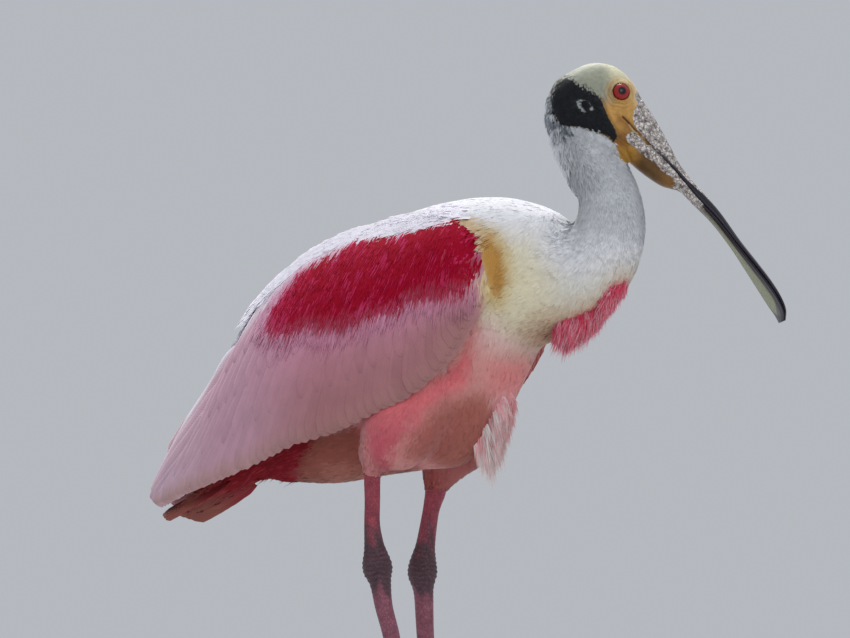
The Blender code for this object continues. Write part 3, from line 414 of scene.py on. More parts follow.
def loft(rings):
    """Points and faces of a closed surface over rings, each end closed by a fan."""
    rings = np.asarray(rings, float)
    count, sides = rings.shape[:2]
    points = np.vstack([rings.reshape(-1, 3), rings[0].mean(axis=0), rings[-1].mean(axis=0)])
    i, j = np.meshgrid(np.arange(count - 1), np.arange(sides), indexing="ij")
    k = (j + 1) % sides
    here, above = i * sides, (i + 1) * sides
    quads = np.stack([here + j, here + k, above + k, above + j], -1).reshape(-1, 4)
    turn = np.arange(sides)
    after = (turn + 1) % sides
    first = np.stack([after, turn, np.full(sides, count * sides)], -1)
    end = (count - 1) * sides
    last = np.stack([turn + end, after + end, np.full(sides, count * sides + 1)], -1)
    tris = np.vstack([first, last])
    centre = points.mean(axis=0)
    a, b, c = points[tris[0, 0]], points[tris[0, 1]], points[tris[0, 2]]
    if np.dot(np.cross(b - a, c - a), a - centre) < 0:
        quads, tris = quads[:, ::-1], tris[:, ::-1]
    return points, quads, tris


def oval(top, bottom, side, half_width, sides, fullness=1.0, keel=0.0):
    """An oval ring on the chord from bottom to top, with a lower half narrowed by the keel."""
    turn = np.linspace(0, 2 * math.pi, sides, endpoint=False)[:, None]
    height = np.sign(np.cos(turn)) * abs(np.cos(turn)) ** fullness
    width = np.sign(np.sin(turn)) * abs(np.sin(turn)) ** fullness
    width = width * (1 - keel * ((1 - np.cos(turn)) / 2) ** 2)
    return (top + bottom) / 2 + (top - bottom) / 2 * height + side * half_width * width


def tube(rows, sides, count):
    """A round tube along rows of x, y, z and radius."""
    rows = smooth_rows(rows, count)
    ways = unit(np.gradient(rows[:, :3], axis=0))
    rings = []
    for row, way in zip(rows, ways):
        up = unit(np.cross(way, LEFT))
        over = np.cross(up, way)
        rings.append(oval(row[:3] + up * row[3], row[:3] - up * row[3], over, row[3], sides))
    return loft(rings)


def body_loft(rows, count, sides, fullness=1.0, keel=0.0):
    rings = []
    for top_x, top_z, bottom_x, bottom_z, half_width in smooth_rows(rows, count):
        top = np.array((top_x, 0.0, top_z))
        bottom = np.array((bottom_x, 0.0, bottom_z))
        rings.append(oval(top, bottom, LEFT, half_width, sides, fullness, keel))
    return loft(rings)


def head_loft(count, sides):
    rings = []
    # The face goes on a little way inside the root of the bill
    inset = np.array((-0.0004, -0.0004, 0.0004, 0.0010, -0.0004))
    over_bill = rows_at(BILL, (0.45, 0.85))[:, [0, 1, 2, 3, 5]] + inset
    for top_at, top_z, bottom_at, bottom_z, half_width in smooth_rows([*HEAD, *over_bill], count):
        rings.append(
            oval(head_point(top_at, top_z), head_point(bottom_at, bottom_z), HEAD_LEFT, half_width, sides)
        )
    return loft(rings)


def joined(parts):
    """Several sets of points and faces as one."""
    points, quads, tris, start = [], [], [], 0
    for part_points, part_quads, part_tris in parts:
        points.append(part_points)
        quads.append(np.asarray(part_quads).reshape(-1, 4) + start)
        tris.append(np.asarray(part_tris).reshape(-1, 3) + start)
        start += len(part_points)
    return np.vstack(points), np.vstack(quads), np.vstack(tris)


def melted(name, parts, voxel, smoothing):
    """Overlapping closed shapes melted into one even surface."""
    mesh = mesh_from(name, *joined(parts))
    obj = bpy.data.objects.new(name, mesh)
    bpy.context.scene.collection.objects.link(obj)
    remesh = obj.modifiers.new("melt", "REMESH")
    remesh.mode = "VOXEL"
    remesh.voxel_size = voxel
    smooth = obj.modifiers.new("smooth", "SMOOTH")
    smooth.factor = 0.5
    smooth.iterations = smoothing
    depsgraph = bpy.context.evaluated_depsgraph_get()
    made = bpy.data.meshes.new_from_object(obj.evaluated_get(depsgraph))
    bpy.data.objects.remove(obj)
    made.polygons.foreach_set("use_smooth", np.ones(len(made.polygons), bool))
    return made


def smooth_near(mesh, centre, radius, passes):
    """Even out a surface round one place."""
    ends = np.empty(len(mesh.edges) * 2, np.int32)
    mesh.edges.foreach_get("vertices", ends)
    ends = ends.reshape(-1, 2)
    points = points_of(mesh)
    share = step(radius, radius * 0.6, np.linalg.norm(points - centre, axis=1))
    ends = ends[(share[ends] > 0).any(axis=1)]
    count = np.bincount(ends.ravel(), minlength=len(points))[:, None]
    for _ in range(passes):
        total = np.zeros_like(points)
        np.add.at(total, ends[:, 0], points[ends[:, 1]])
        np.add.at(total, ends[:, 1], points[ends[:, 0]])
        points += (total / np.maximum(count, 1) - points) * (share[:, None] * 0.6 * (count > 0))
    set_points(mesh, points)


def refined(mesh, wanted, passes):
    """Split the faces whose middle points are wanted into four, and even out the split places."""
    for _ in range(passes):
        shape = bmesh.new()
        shape.from_mesh(mesh)
        shape.faces.ensure_lookup_table()
        middles = np.array([face.calc_center_median() for face in shape.faces])
        chosen = wanted(middles)
        edges = {edge for face, keep in zip(shape.faces, chosen) if keep for edge in face.edges}
        bmesh.ops.subdivide_edges(shape, edges=list(edges), cuts=1, use_grid_fill=True)
        points = np.array([vert.co for vert in shape.verts])
        soft = [vert for vert, keep in zip(shape.verts, wanted(points)) if keep]
        for _ in range(3):
            bmesh.ops.smooth_vert(
                shape, verts=soft, factor=0.5, use_axis_x=True, use_axis_y=True, use_axis_z=True
            )
        shape.to_mesh(mesh)
        shape.free()
    mesh.polygons.foreach_set("use_smooth", np.ones(len(mesh.polygons), bool))
    mesh.update()


def tree_of(mesh, more=()):
    """A search tree over a mesh's faces, and over more sets of points and faces."""
    mesh.calc_loop_triangles()
    corners = np.empty(len(mesh.loop_triangles) * 3, np.int32)
    mesh.loop_triangles.foreach_get("vertices", corners)
    parts = [(points_of(mesh), np.zeros((0, 4), int), corners.reshape(-1, 3)), *more]
    points, quads, tris = joined(parts)
    return BVHTree.FromPolygons(points.tolist(), quads.tolist() + tris.tolist())


def scattered(mesh, count, density):
    """Points spread over a mesh by area and density, with their normals."""
    mesh.calc_loop_triangles()
    corners = np.empty(len(mesh.loop_triangles) * 3, np.int32)
    mesh.loop_triangles.foreach_get("vertices", corners)
    corners = corners.reshape(-1, 3)
    points, normals = points_of(mesh), normals_of(mesh)
    a, b, c = (points[corners[:, i]] for i in range(3))
    weight = np.linalg.norm(np.cross(b - a, c - a), axis=1) * density((a + b + c) / 3, normals[corners[:, 0]])
    chosen = RNG.choice(len(corners), count, p=weight / weight.sum())
    u, v = RNG.random((2, count))
    flip = u + v > 1
    u, v = np.where(flip, 1 - u, u)[:, None], np.where(flip, 1 - v, v)[:, None]
    picked = corners[chosen]
    place = points[picked[:, 0]] * (1 - u - v) + points[picked[:, 1]] * u + points[picked[:, 2]] * v
    way = normals[picked[:, 0]] * (1 - u - v) + normals[picked[:, 1]] * u + normals[picked[:, 2]] * v
    return place, unit(way)


def settled(tree, points, normals, reach=0.014):
    """The outermost places on a surface near points, and the ways out of it there."""
    places, ways = points.copy(), normals.copy()
    for index, (point, normal) in enumerate(zip(points, normals)):
        place, way, _, _ = tree.ray_cast(Vector(point + normal * reach), Vector(-normal), reach * 2.2)
        if place is None or (place - Vector(point)).length > 0.005:
            place, way, _, _ = tree.find_nearest(Vector(point), reach * 2)
        if place is not None:
            places[index] = place
            ways[index] = way if np.dot(way, normal) > 0 else -np.array(way)
    return places, ways


# Markings in the plane between the bird's sides: outline in millimetres, softness and colour


def depth_in(outline, points):
    """How far points lie inside a closed outline, less than 0 outside it."""
    outline = np.array(outline, float) * MM
    x, z = points[..., 0], points[..., 1]
    inside = np.zeros(x.shape, bool)
    nearest = np.full(x.shape, 1e9)
    for a, b in zip(outline, np.roll(outline, -1, axis=0)):
        along = b - a
        share = ((x - a[0]) * along[0] + (z - a[1]) * along[1]) / (along @ along)
        share = np.clip(share, 0, 1)
        apart = np.hypot(x - a[0] - share * along[0], z - a[1] - share * along[1])
        nearest = np.minimum(nearest, apart)
        crossing = (a[1] > z) != (b[1] > z)
        rise = b[1] - a[1] if abs(b[1] - a[1]) > 1e-12 else 1e-12
        inside ^= crossing & (x < a[0] + (z - a[1]) * along[0] / rise)
    return np.where(inside, nearest, -nearest)


def marked(colours, plane, outline, softness, colour):
    """Lay one soft-edged marking over colours."""
    share = step(-softness * MM, softness * MM, depth_in(outline, plane))
    return toward(colours, colour, share)


WHITE = rgb(244, 243, 247)
MUSTARD_MARKS = (
    (
        ((68, 358), (82, 354), (94, 338), (96, 316), (90, 300), (80, 298), (74, 316), (72, 341)), 4,
        rgb(234, 212, 158),
    ),
    (
        ((69, 354), (78, 350), (88, 336), (91, 320), (88, 307), (82, 308), (78, 324), (73, 341)), 2.5,
        rgb(204, 150, 74),
    ),
    (((50, 358), (57, 362), (66, 360), (73, 351), (67, 350), (58, 355)), 1.5, rgb(216, 184, 138)),
)
BACK_MARKS = (
    # The rump and the ends of the shoulder feathers
    (((-60, 372), (-20, 374), (-40, 330), (-110, 240), (-150, 230), (-120, 320)), 18, rgb(232, 220, 234)),
    # Cream over the side of the breast
    (
        ((78, 348), (104, 344), (120, 322), (124, 290), (104, 268), (56, 272), (66, 310)), 16,
        rgb(248, 237, 204),
    ),
)
BREAST_MARKS = (
    # Brownish low on the breast, then rose, then pink
    (((60, 284), (84, 282), (116, 286), (112, 262), (84, 240), (40, 240)), 8, rgb(226, 204, 186)),
    (((58, 294), (80, 292), (86, 276), (74, 262), (56, 262)), 12, rgb(244, 206, 200)),
    (
        (
            (60, 282), (80, 272), (96, 268), (104, 262), (90, 230), (60, 180), (-60, 170), (-30, 240),
            (40, 262),
        ),
        16, rgb(230, 158, 152),
    ),
    (((74, 262), (86, 266), (100, 266), (84, 236), (74, 214), (66, 222), (68, 240)), 6, rgb(244, 146, 144)),
    # Pink along the wing's lower edge and down the thigh
    (
        (
            (70, 292), (60, 270), (41, 250), (-6, 232), (-44, 220), (-36, 200), (4, 196), (24, 216),
            (42, 236), (58, 250), (64, 268),
        ),
        5, rgb(240, 122, 128),
    ),
    # Brownish belly: the belly's pink painted darker and browner, as painted shade of the underside
    (
        ((66, 244), (48, 240), (28, 218), (20, 204), (26, 190), (60, 190), (72, 214), (73, 232)), 7,
        rgb(182, 106, 94),
    ),
    (((-30, 226), (-70, 222), (-110, 214), (-120, 160), (0, 160), (4, 198), (-18, 206)), 6, rgb(160, 88, 74)),
    (((-40, 200), (-62, 200), (-70, 186), (-10, 180), (-12, 192)), 5, rgb(178, 110, 94)),
    # Pale below the breast's loose tuft
    (((78, 248), (84, 240), (76, 205), (64, 205), (68, 240)), 4, rgb(246, 190, 190)),
    # A pale fold before the thigh
    (((30, 222), (22, 212), (8, 199), (5, 201), (19, 215), (27, 224)), 1.5, rgb(244, 190, 178)),
    # Crimson under the tail
    (
        ((-60, 236), (-66, 214), (-80, 202), (-92, 186), (-100, 165), (-240, 140), (-240, 200), (-130, 226)),
        5, rgb(136, 14, 30),
    ),
)
CROP_MARKS = (
    (
        ((92, 286), (112, 296), (132, 300), (150, 308), (164, 322), (178, 320), (172, 250), (96, 262)), 9,
        rgb(212, 182, 150),
    ),
    (
        ((100, 282), (118, 287), (130, 291), (146, 298), (156, 306), (150, 280), (104, 262)), 5,
        rgb(188, 136, 108),
    ),
)
CROP_RED = (
    (110, 280), (119, 289), (130, 293), (143, 299), (150, 306), (156, 313), (162, 317), (180, 317),
    (176, 250), (104, 256),
)
NECK_MARKS = ((((100, 330), (140, 318), (170, 330), (180, 300), (100, 280)), 14, rgb(236, 231, 218)),)


def body_colour(points):
    """The plumage's colour over torso, neck and thighs, as linear light, with painted shade on the belly and on
    the far thigh.
    """
    plane = points[..., [0, 2]]
    colours = np.tile(WHITE, (len(points), 1))
    for outline, softness, colour in NECK_MARKS + BACK_MARKS + BREAST_MARKS:
        colours = marked(colours, plane, outline, softness, colour)
    thigh = thigh_share(points)
    low = step(0.226, 0.200, points[:, 2])
    pink = rgb(214, 106, 116) * (1 - low[:, None]) + rgb(208, 88, 104) * low[:, None]
    # On the far (left) side the thigh's pink is painted darker, as painted shade, and lighter at its front, as
    # a painted rim of light
    left = points[:, 1] > 0
    rim = (left * step(0.040, 0.056, points[:, 0]))[:, None]
    pink = np.where(left[:, None], rgb(172, 84, 82) * (1 - rim) + rgb(240, 132, 140) * rim, pink)
    fold = 0.0285 + np.minimum(points[:, 2] - 0.2195, 0.003) * 1.03 + 0.03 * left
    behind = 0.12 + 0.88 * step(0.004, -0.002, points[:, 0] - fold)
    colours = toward(colours, pink, thigh * behind * 0.85)
    rear = step(0.004, -0.012, points[:, 0] + 0.010 * (points[:, 1] > 0)) * thigh
    colours = toward(colours, rgb(226, 150, 146), rear * 0.8)
    for outline, softness, colour in MUSTARD_MARKS + CROP_MARKS:
        colours = marked(colours, plane, outline, softness, colour)
    colours = marked(colours, plane, CROP_RED, 2.5, rgb(226, 66, 92))
    neck = step(0.330, 0.362, points[:, 2]) * step(0.108, 0.122, points[:, 0])
    colours = toward(colours, rgb(226, 228, 231), neck)
    nape = step(0.392, 0.424, points[:, 2]) * step(-0.006, -0.020, in_head(points)[0])
    colours = toward(colours, rgb(178, 184, 190), nape * 0.65)
    return colours


def thigh_share(points):
    """1 on the feathered thighs, 0 away from them."""
    share = np.zeros(len(points))
    for rows in THIGHS.values():
        line = smooth_rows(rows, 30)
        apart = np.linalg.norm(points[:, None, :] - line[None, :, :3], axis=2) - line[None, :, 3]
        near = apart.min(axis=1)
        share = np.maximum(share, step(0.006, -0.001, near) * step(0.240, 0.218, points[:, 2]))
    return share


# The wing: its surface, and the markings on it

RED_PATCH = (
    (-97, 293), (-92, 304), (-84, 314), (-72, 331), (-47, 337), (-30, 348), (10, 347), (44, 353), (64, 355),
    (71, 340), (75, 320), (73, 309), (55, 305), (37, 305), (19, 296), (-4, 293), (-28, 287), (-48, 290),
    (-78, 285),
)
WING_TOP = (
    (-250, 150), (-184, 232), (-160, 262), (-120, 298), (-80, 331), (-40, 345), (20, 353), (70, 362),
    (90, 400), (-250, 400),
)
WING_FRONT = ((70.5, 360), (72, 345), (75, 330), (77, 318), (79, 308), (100, 308), (100, 360))
WING_WHITE = rgb(238, 234, 244)
WING_PINK = rgb(226, 150, 174)
# Darker, browner pink low on the wing: partly the lower feathers' own colour, partly painted shade
WING_LOW_WITH_SHADE = rgb(182, 124, 128)
WING_REAR = rgb(210, 162, 180)
WING_TIP = rgb(212, 176, 192)
WING_EDGE = rgb(190, 148, 130)
WING_MAUVE = rgb(226, 160, 194)
WING_RED = rgb(174, 2, 42)
WING_ROSE = rgb(204, 46, 96)
# Pale pink for the wing's undersides: the lining's own pink, made brighter as painted light for the glow of
# backlit feathers
WING_GLOW_PINK = rgb(255, 196, 196)


def wing_colour(points, height):
    """The wing's colour at places on it, as linear light, darker low down (partly painted shade) and with a
    painted glow at the far wing's lower front.
    """
    plane = points[..., [0, 2]]
    # Towards the lower edge the wing turns darker: partly its own colour, partly painted shade
    low = step(0.45, 0.95, height)[..., None]
    rear = step(-0.03, -0.13, points[..., 0])[..., None]
    tip = step(-0.12, -0.20, points[..., 0])[..., None]
    colours = WING_PINK * (1 - low) + WING_LOW_WITH_SHADE * low
    colours = colours + (WING_REAR - colours) * rear
    colours = colours + (WING_TIP - colours) * tip
    colours = colours + (WING_EDGE - colours) * step(0.93, 1.0, height)[..., None] * (0.3 + 0.4 * rear)
    halo = step(-0.022, 0.004, depth_in(RED_PATCH, plane))[..., None]
    colours = colours + (WING_MAUVE - colours) * halo * 0.6
    above = depth_in(WING_TOP, plane)
    colours = toward(colours, WING_WHITE, step(-0.010, 0.006, above))
    colours = marked(colours, plane, WING_FRONT, 5, rgb(238, 216, 190))
    for outline, softness, colour in MUSTARD_MARKS:
        colours = marked(colours, plane, outline, softness, colour)
    # The far wing's lower front edge in bright pink: painted light for the glow of backlit feathers there
    pale = (
        step(0.050, 0.056, points[..., 0]) * step(0.020, 0.040, points[..., 1])
        * step(0.294, 0.284, points[..., 2])
    )
    return colours + (WING_GLOW_PINK - colours) * pale[..., None]


def red_share(points):
    """1 in the crimson patch, 0 away from it."""
    return step(-0.002, 0.003, depth_in(RED_PATCH, points[..., [0, 2]]))


def over_patch(path):
    """True for tufts that would cover the crimson patch."""
    beside = abs(path[:, :, 1]) > 0.030
    return (beside & (depth_in(RED_PATCH, path[:, :, [0, 2]]) > 0.0015))[:, 1:].any(axis=1)


def wing_point(side, along, height):
    """Places on the folded wing: share of the way to its tip, and of the way to its lower edge."""
    along, height = np.broadcast_arrays(np.asarray(along, float), np.asarray(height, float))
    row = rows_at(WING, along * (len(WING) - 1))
    mirror = np.array((1.0, side, 1.0))
    ridge, edge = row[..., 0:3] * mirror, row[..., 3:6] * mirror
    way = unit(np.cross(AHEAD, edge - ridge)) * side
    crown = (ridge + edge) / 2 + way * 2 * row[..., 6:7]
    height = height[..., None]
    return (1 - height) ** 2 * ridge + 2 * height * (1 - height) * crown + height**2 * edge


def wing_normal(side, along, height):
    """The ways out of the wing's surface."""
    nudge = 0.02
    lengthwise = wing_point(side, along + nudge, height) - wing_point(side, along - nudge, height)
    crosswise = wing_point(side, along, height + nudge) - wing_point(side, along, height - nudge)
    normal = unit(np.cross(lengthwise, crosswise))
    facing = normal[..., 1] * side + normal[..., 2] * 0.5 > 0
    return np.where(facing[..., None], normal, -normal)


def wing_core(side, inset, end, edge, along_count=40, across_count=16):
    """The wing's flesh as a closed slab."""
    along, height = np.meshgrid(
        np.linspace(0, end, along_count), np.linspace(0, 1, across_count), indexing="ij"
    )
    thick = read(WING_PROFILE, height)
    normal = wing_normal(side, along, height * edge)
    outer = wing_point(side, along, height * edge) - normal * inset
    depth = rows_at(WING, along * (len(WING) - 1))[..., 7:8]
    inner = outer - normal * np.maximum(depth * thick[..., None] - inset, 0.0012)
    return slab(outer, inner)


def slab(outer, inner):
    """A closed plate between two grids of points, as points, quads and triangles."""
    rows, columns = outer.shape[:2]
    points = np.vstack([outer.reshape(-1, 3), inner.reshape(-1, 3)])
    index = np.arange(rows * columns).reshape(rows, columns)
    top = np.stack([index[:-1, :-1], index[:-1, 1:], index[1:, 1:], index[1:, :-1]], -1).reshape(-1, 4)
    bottom = top[:, ::-1] + rows * columns
    rim = np.concatenate([index[0, :], index[1:, -1], index[-1, -2::-1], index[-2:0:-1, 0]])
    after = np.roll(rim, -1)
    border = np.stack([after, rim, rim + rows * columns, after + rows * columns], -1)
    quads = np.vstack([top, bottom, border])
    a, b, d = points[top[0, 0]], points[top[0, 1]], points[top[0, 3]]
    if np.dot(np.cross(b - a, d - a), a - points[top[0, 0] + rows * columns]) < 0:
        quads = quads[:, ::-1]
    return points, quads, np.zeros((0, 3), int)


# Tufts of fine strands


def tufts(name, path, normal, width, colours, uv, count, segments, material, shape=None):
    """Many tufts as joined meshes. A tuft follows three points and fans out into tapered strands.

    path and normal: tufts x 3 points x 3; colours: tufts x 3 x 3, at root, middle and tip; uv: tufts x 2.
    """
    look = {
        "fan": (0.6, 1.0, 1.1), "fineness": 2.0, "ridge": 0.15, "ragged": 0.3, "lift": 0.0002, "tone": 0.04
    }
    look.update(shape or {})
    per_strand = 6 * segments - 2
    limit = PIECE_TRIANGLES // (per_strand * count)
    pieces = max(1, math.ceil(len(path) / limit))
    for number, chosen in enumerate(np.array_split(np.arange(len(path)), pieces)):
        title = name if pieces == 1 else f"{name}_{number + 1}"
        mesh = tuft_mesh(
            title, path[chosen], normal[chosen], width[chosen], colours[chosen], uv[chosen], count, segments,
            look,
        )
        put(title, mesh, material)


def tuft_mesh(name, path, normal, width, colours, uv, count, segments, look):
    total = len(path)
    place = np.linspace(-1, 1, count)[None, :] if count > 1 else np.zeros((1, 1))
    place = place + RNG.uniform(-0.25, 0.25, (total, count))
    reach = 1 - 0.25 * abs(place) ** 1.5 - RNG.uniform(0, look["ragged"], (total, count))
    lift = RNG.uniform(-1, 1, (total, count)) * look["lift"]
    tone = 1 + RNG.normal(0, look["tone"], (total, count))
    shares = np.linspace(0, 1, segments + 1)
    t = reach[..., None] * shares
    weights = np.stack([2 * (t - 0.5) * (t - 1), -4 * t * (t - 1), 2 * t * (t - 0.5)], -1)
    line = np.einsum("nksw,nwc->nksc", weights, path)
    out = unit(np.einsum("nksw,nwc->nksc", weights, normal))
    ways = unit(np.einsum("nw,nwc->nc", np.tile((-1.0, 0.0, 1.0), (total, 1)), path))[:, None, None, :]
    across = unit(np.cross(np.broadcast_to(ways, out.shape), out))
    fan = np.interp(shares, (0, 0.5, 1), look["fan"])
    half = width[:, None, None] / 2
    line = (
        line + across * (place[..., None] * half * fan)[..., None]
        + out * (lift[..., None] * shares)[..., None]
    )
    strand = (
        look["fineness"] * width[:, None, None] / count * np.interp(shares, (0, 0.4, 1), (0.8, 1.0, 0.25))
    )
    strand = np.broadcast_to(strand, t.shape)[..., :-1, None]
    body, over, up = line[:, :, :-1], across[:, :, :-1], out[:, :, :-1]
    left = body - over * strand / 2
    right = body + over * strand / 2
    top = body + up * strand * look["ridge"]
    # The upper and the lower face meet in edges of their own, so that each is shaded by itself.
    rows = np.stack([left, top, right, left, right], axis=3)
    points = np.concatenate([rows.reshape(total, count, -1, 3), line[:, :, -1:], line[:, :, -1:]], axis=2)
    size = segments * 5 + 2
    start = (np.arange(total * count) * size)[:, None, None]
    quads, tris = [], []
    for row in range(segments - 1):
        a = row * 5
        quads += [(a, a + 1, a + 6, a + 5), (a + 1, a + 2, a + 7, a + 6), (a + 4, a + 3, a + 8, a + 9)]
    a = (segments - 1) * 5
    tris += [(a, a + 1, size - 2), (a + 1, a + 2, size - 2), (a + 4, a + 3, size - 1), (0, 2, 1)]
    quads = (np.array(quads, int).reshape(1, -1, 4) + start).reshape(-1, 4)
    tris = (np.array(tris).reshape(1, -1, 3) + start).reshape(-1, 3)
    mesh = mesh_from(name, points.reshape(-1, 3), quads, tris)
    blend = np.einsum(
        "nksw,nwc->nksc", np.clip(weights, 0, 1) / np.clip(weights, 0, 1).sum(-1, keepdims=True), colours
    )
    blend = np.clip(blend * tone[..., None, None], 0, 1)

    def per_point(values):
        rows = np.repeat(values[:, :, :-1], 5, axis=2)
        return np.concatenate([rows, values[:, :, -1:], values[:, :, -1:]], axis=2)

    paint(mesh, per_point(blend).reshape(-1, 3))
    sides = np.concatenate([np.tile((1, 1, 1, -1, -1), segments), (1, -1)])
    keep_normals(mesh, (per_point(out) * sides[:, None]).reshape(-1, 3), 0.75)
    spot = uv[:, None, None, :] + np.stack(np.broadcast_arrays(place[..., None] * 0.0013, t * 0.0026), -1)
    keep_uv(mesh, per_point(spot).reshape(-1, 2))
    return mesh


def laid(tree, root, normal, lie, length, rise, sunk=0.0006):
    """The paths of tufts that lie on a surface, from root over middle to tip."""
    lie = unit(lie - normal * np.sum(lie * normal, axis=1, keepdims=True))
    middle, middle_way = settled(tree, root + lie * length[:, None] * 0.5, normal)
    ahead = unit(middle - root)
    tip, tip_way = settled(tree, middle + ahead * length[:, None] * 0.5, middle_way)
    path = np.stack(
        [root - normal * sunk, middle + middle_way * rise[:, None] * 0.75, tip + tip_way * rise[:, None]], 1
    )
    return path, np.stack([normal, unit(normal + middle_way), unit(middle_way + tip_way)], 1)


SPINE = np.vstack(
    [
        np.array(
            ((-0.16, 0.0, 0.19), (-0.12, 0.0, 0.225), (-0.06, 0.0, 0.262), (0.0, 0.0, 0.285), (0.06, 0.0, 0.30))
        ),
        smooth_rows(NECK, 24)[4:, :3],
        head_point(np.array((0.0, 0.02)), np.array((0.437, 0.433))),
    ]
)


def skin_uv(points):
    """An unwrap of the skin: the way along the spine, and the turn round it."""
    start, end = SPINE[:-1], SPINE[1:]
    along = end - start
    lengths = np.linalg.norm(along, axis=1)
    begun = np.concatenate([[0], np.cumsum(lengths)])
    share = np.einsum("nsc,sc->ns", points[:, None, :] - start[None], along) / lengths**2
    share = np.clip(share, 0, 1)
    foot = start[None] + share[..., None] * along[None]
    apart = np.linalg.norm(points[:, None, :] - foot, axis=2)
    nearest = apart.argmin(axis=1)
    each = np.arange(len(points))
    u = (begun[nearest] + share[each, nearest] * lengths[nearest]) / begun[-1]
    way = along[nearest] / lengths[nearest][:, None]
    up = unit(np.cross(way, LEFT))
    over = np.cross(up, way)
    off = points - foot[each, nearest]
    turn = np.arctan2(np.sum(off * over, axis=1), np.sum(off * up, axis=1))
    return np.stack([0.01 + 0.98 * u, 0.01 + 0.98 * (turn / (2 * math.pi) + 0.5)], 1)


# Materials


def nodes_of(name):
    material = bpy.data.materials.new(name)
    material.use_nodes = True
    tree = material.node_tree
    return material, tree, tree.nodes["Principled BSDF"]


def set_inputs(node, **values):
    """Plain values for a node's own inputs, by name."""
    for key, value in values.items():
        node.inputs[key.replace("_", " ")].default_value = value


def add(tree, kind, **values):
    """A node with its properties and unlinked inputs set by name."""
    node = tree.nodes.new(kind)
    for key, value in values.items():
        if hasattr(node, key):
            setattr(node, key, value)
        else:
            set_inputs(node, **{key: value})
    return node


def mix(tree, share, first, second, blend="MIX"):
    """A colour mix of sockets or plain values."""
    node = add(tree, "ShaderNodeMix", data_type="RGBA", blend_type=blend)
    for socket, value in ((node.inputs[0], share), (node.inputs[6], first), (node.inputs[7], second)):
        if isinstance(value, bpy.types.NodeSocket):
            tree.links.new(value, socket)
        elif hasattr(value, "__len__"):
            socket.default_value = (*value, 1.0) if len(value) == 3 else value
        else:
            socket.default_value = value
    return node.outputs[2]


def maths(tree, operation, first, second=0.0, clamp=False):
    node = add(tree, "ShaderNodeMath", operation=operation, use_clamp=clamp)
    for socket, value in ((node.inputs[0], first), (node.inputs[1], second)):
        if isinstance(value, bpy.types.NodeSocket):
            tree.links.new(value, socket)
        else:
            socket.default_value = value
    return node.outputs[0]


def attribute(tree, name, output="Fac"):
    node = add(tree, "ShaderNodeAttribute", attribute_name=name)
    return node.outputs[output]


def noise(tree, scale, detail=3.0, roughness=0.55, stretch=None):
    """Noise over the piece's own shape, from 0 to 1."""
    place = add(tree, "ShaderNodeTexCoord").outputs["Object"]
    if stretch is not None:
        mapping = add(tree, "ShaderNodeMapping")
        mapping.inputs["Scale"].default_value = stretch
        tree.links.new(place, mapping.inputs["Vector"])
        place = mapping.outputs["Vector"]
    node = add(tree, "ShaderNodeTexNoise", Scale=scale, Detail=detail, Roughness=roughness)
    tree.links.new(place, node.inputs["Vector"])
    return node.outputs["Fac"]


def spread(tree, value, low, high, to_low=0.0, to_high=1.0):
    node = add(tree, "ShaderNodeMapRange", clamp=True)
    tree.links.new(value, node.inputs["Value"])
    node.inputs["From Min"].default_value = low
    node.inputs["From Max"].default_value = high
    node.inputs["To Min"].default_value = to_low
    node.inputs["To Max"].default_value = to_high
    return node.outputs["Result"]


def toned(tree, colour, share):
    """A colour made lighter or darker by a number about 1."""
    node = add(tree, "ShaderNodeVectorMath", operation="SCALE")
    tree.links.new(colour, node.inputs[0])
    tree.links.new(share, node.inputs["Scale"])
    return node.outputs["Vector"]


def bumped(tree, shader, height, distance, strength=1.0):
    node = add(tree, "ShaderNodeBump", Strength=strength, Distance=distance)
    tree.links.new(height, node.inputs["Height"])
    tree.links.new(node.outputs["Normal"], shader.inputs["Normal"])


def feather_material(name, roughness, sheen, gloss=0.25, fine=900.0):
    """Feathers: their own colours, cloudy and finely streaked."""
    material, tree, shader = nodes_of(name)
    colour = attribute(tree, "plumage", "Color")
    cloud = spread(tree, noise(tree, 60.0), 0.3, 0.7, 0.95, 1.03)
    streak = spread(tree, noise(tree, fine, 2.0), 0.3, 0.7, 0.95, 1.03)
    colour = toned(tree, colour, maths(tree, "MULTIPLY", cloud, streak))
    tree.links.new(colour, shader.inputs["Base Color"])
    set_inputs(shader, Roughness=roughness, Sheen_Weight=sheen, Sheen_Roughness=0.5, Specular_IOR_Level=gloss)
    return material


def vane_material(name, roughness=0.6):
    """Broad feathers: barbs run out from the shaft."""
    material, tree, shader = nodes_of(name)
    colour = attribute(tree, "plumage", "Color")
    barb = maths(tree, "SINE", attribute(tree, "barb"))
    cloud = spread(tree, noise(tree, 70.0), 0.3, 0.7, 0.94, 1.05)
    streak = spread(tree, barb, -1.0, 1.0, 0.97, 1.03)
    tree.links.new(toned(tree, colour, maths(tree, "MULTIPLY", cloud, streak)), shader.inputs["Base Color"])
    bumped(tree, shader, barb, 0.00008, 0.5)
    set_inputs(shader, Roughness=roughness, Sheen_Weight=0.08, Specular_IOR_Level=0.2)
    return material


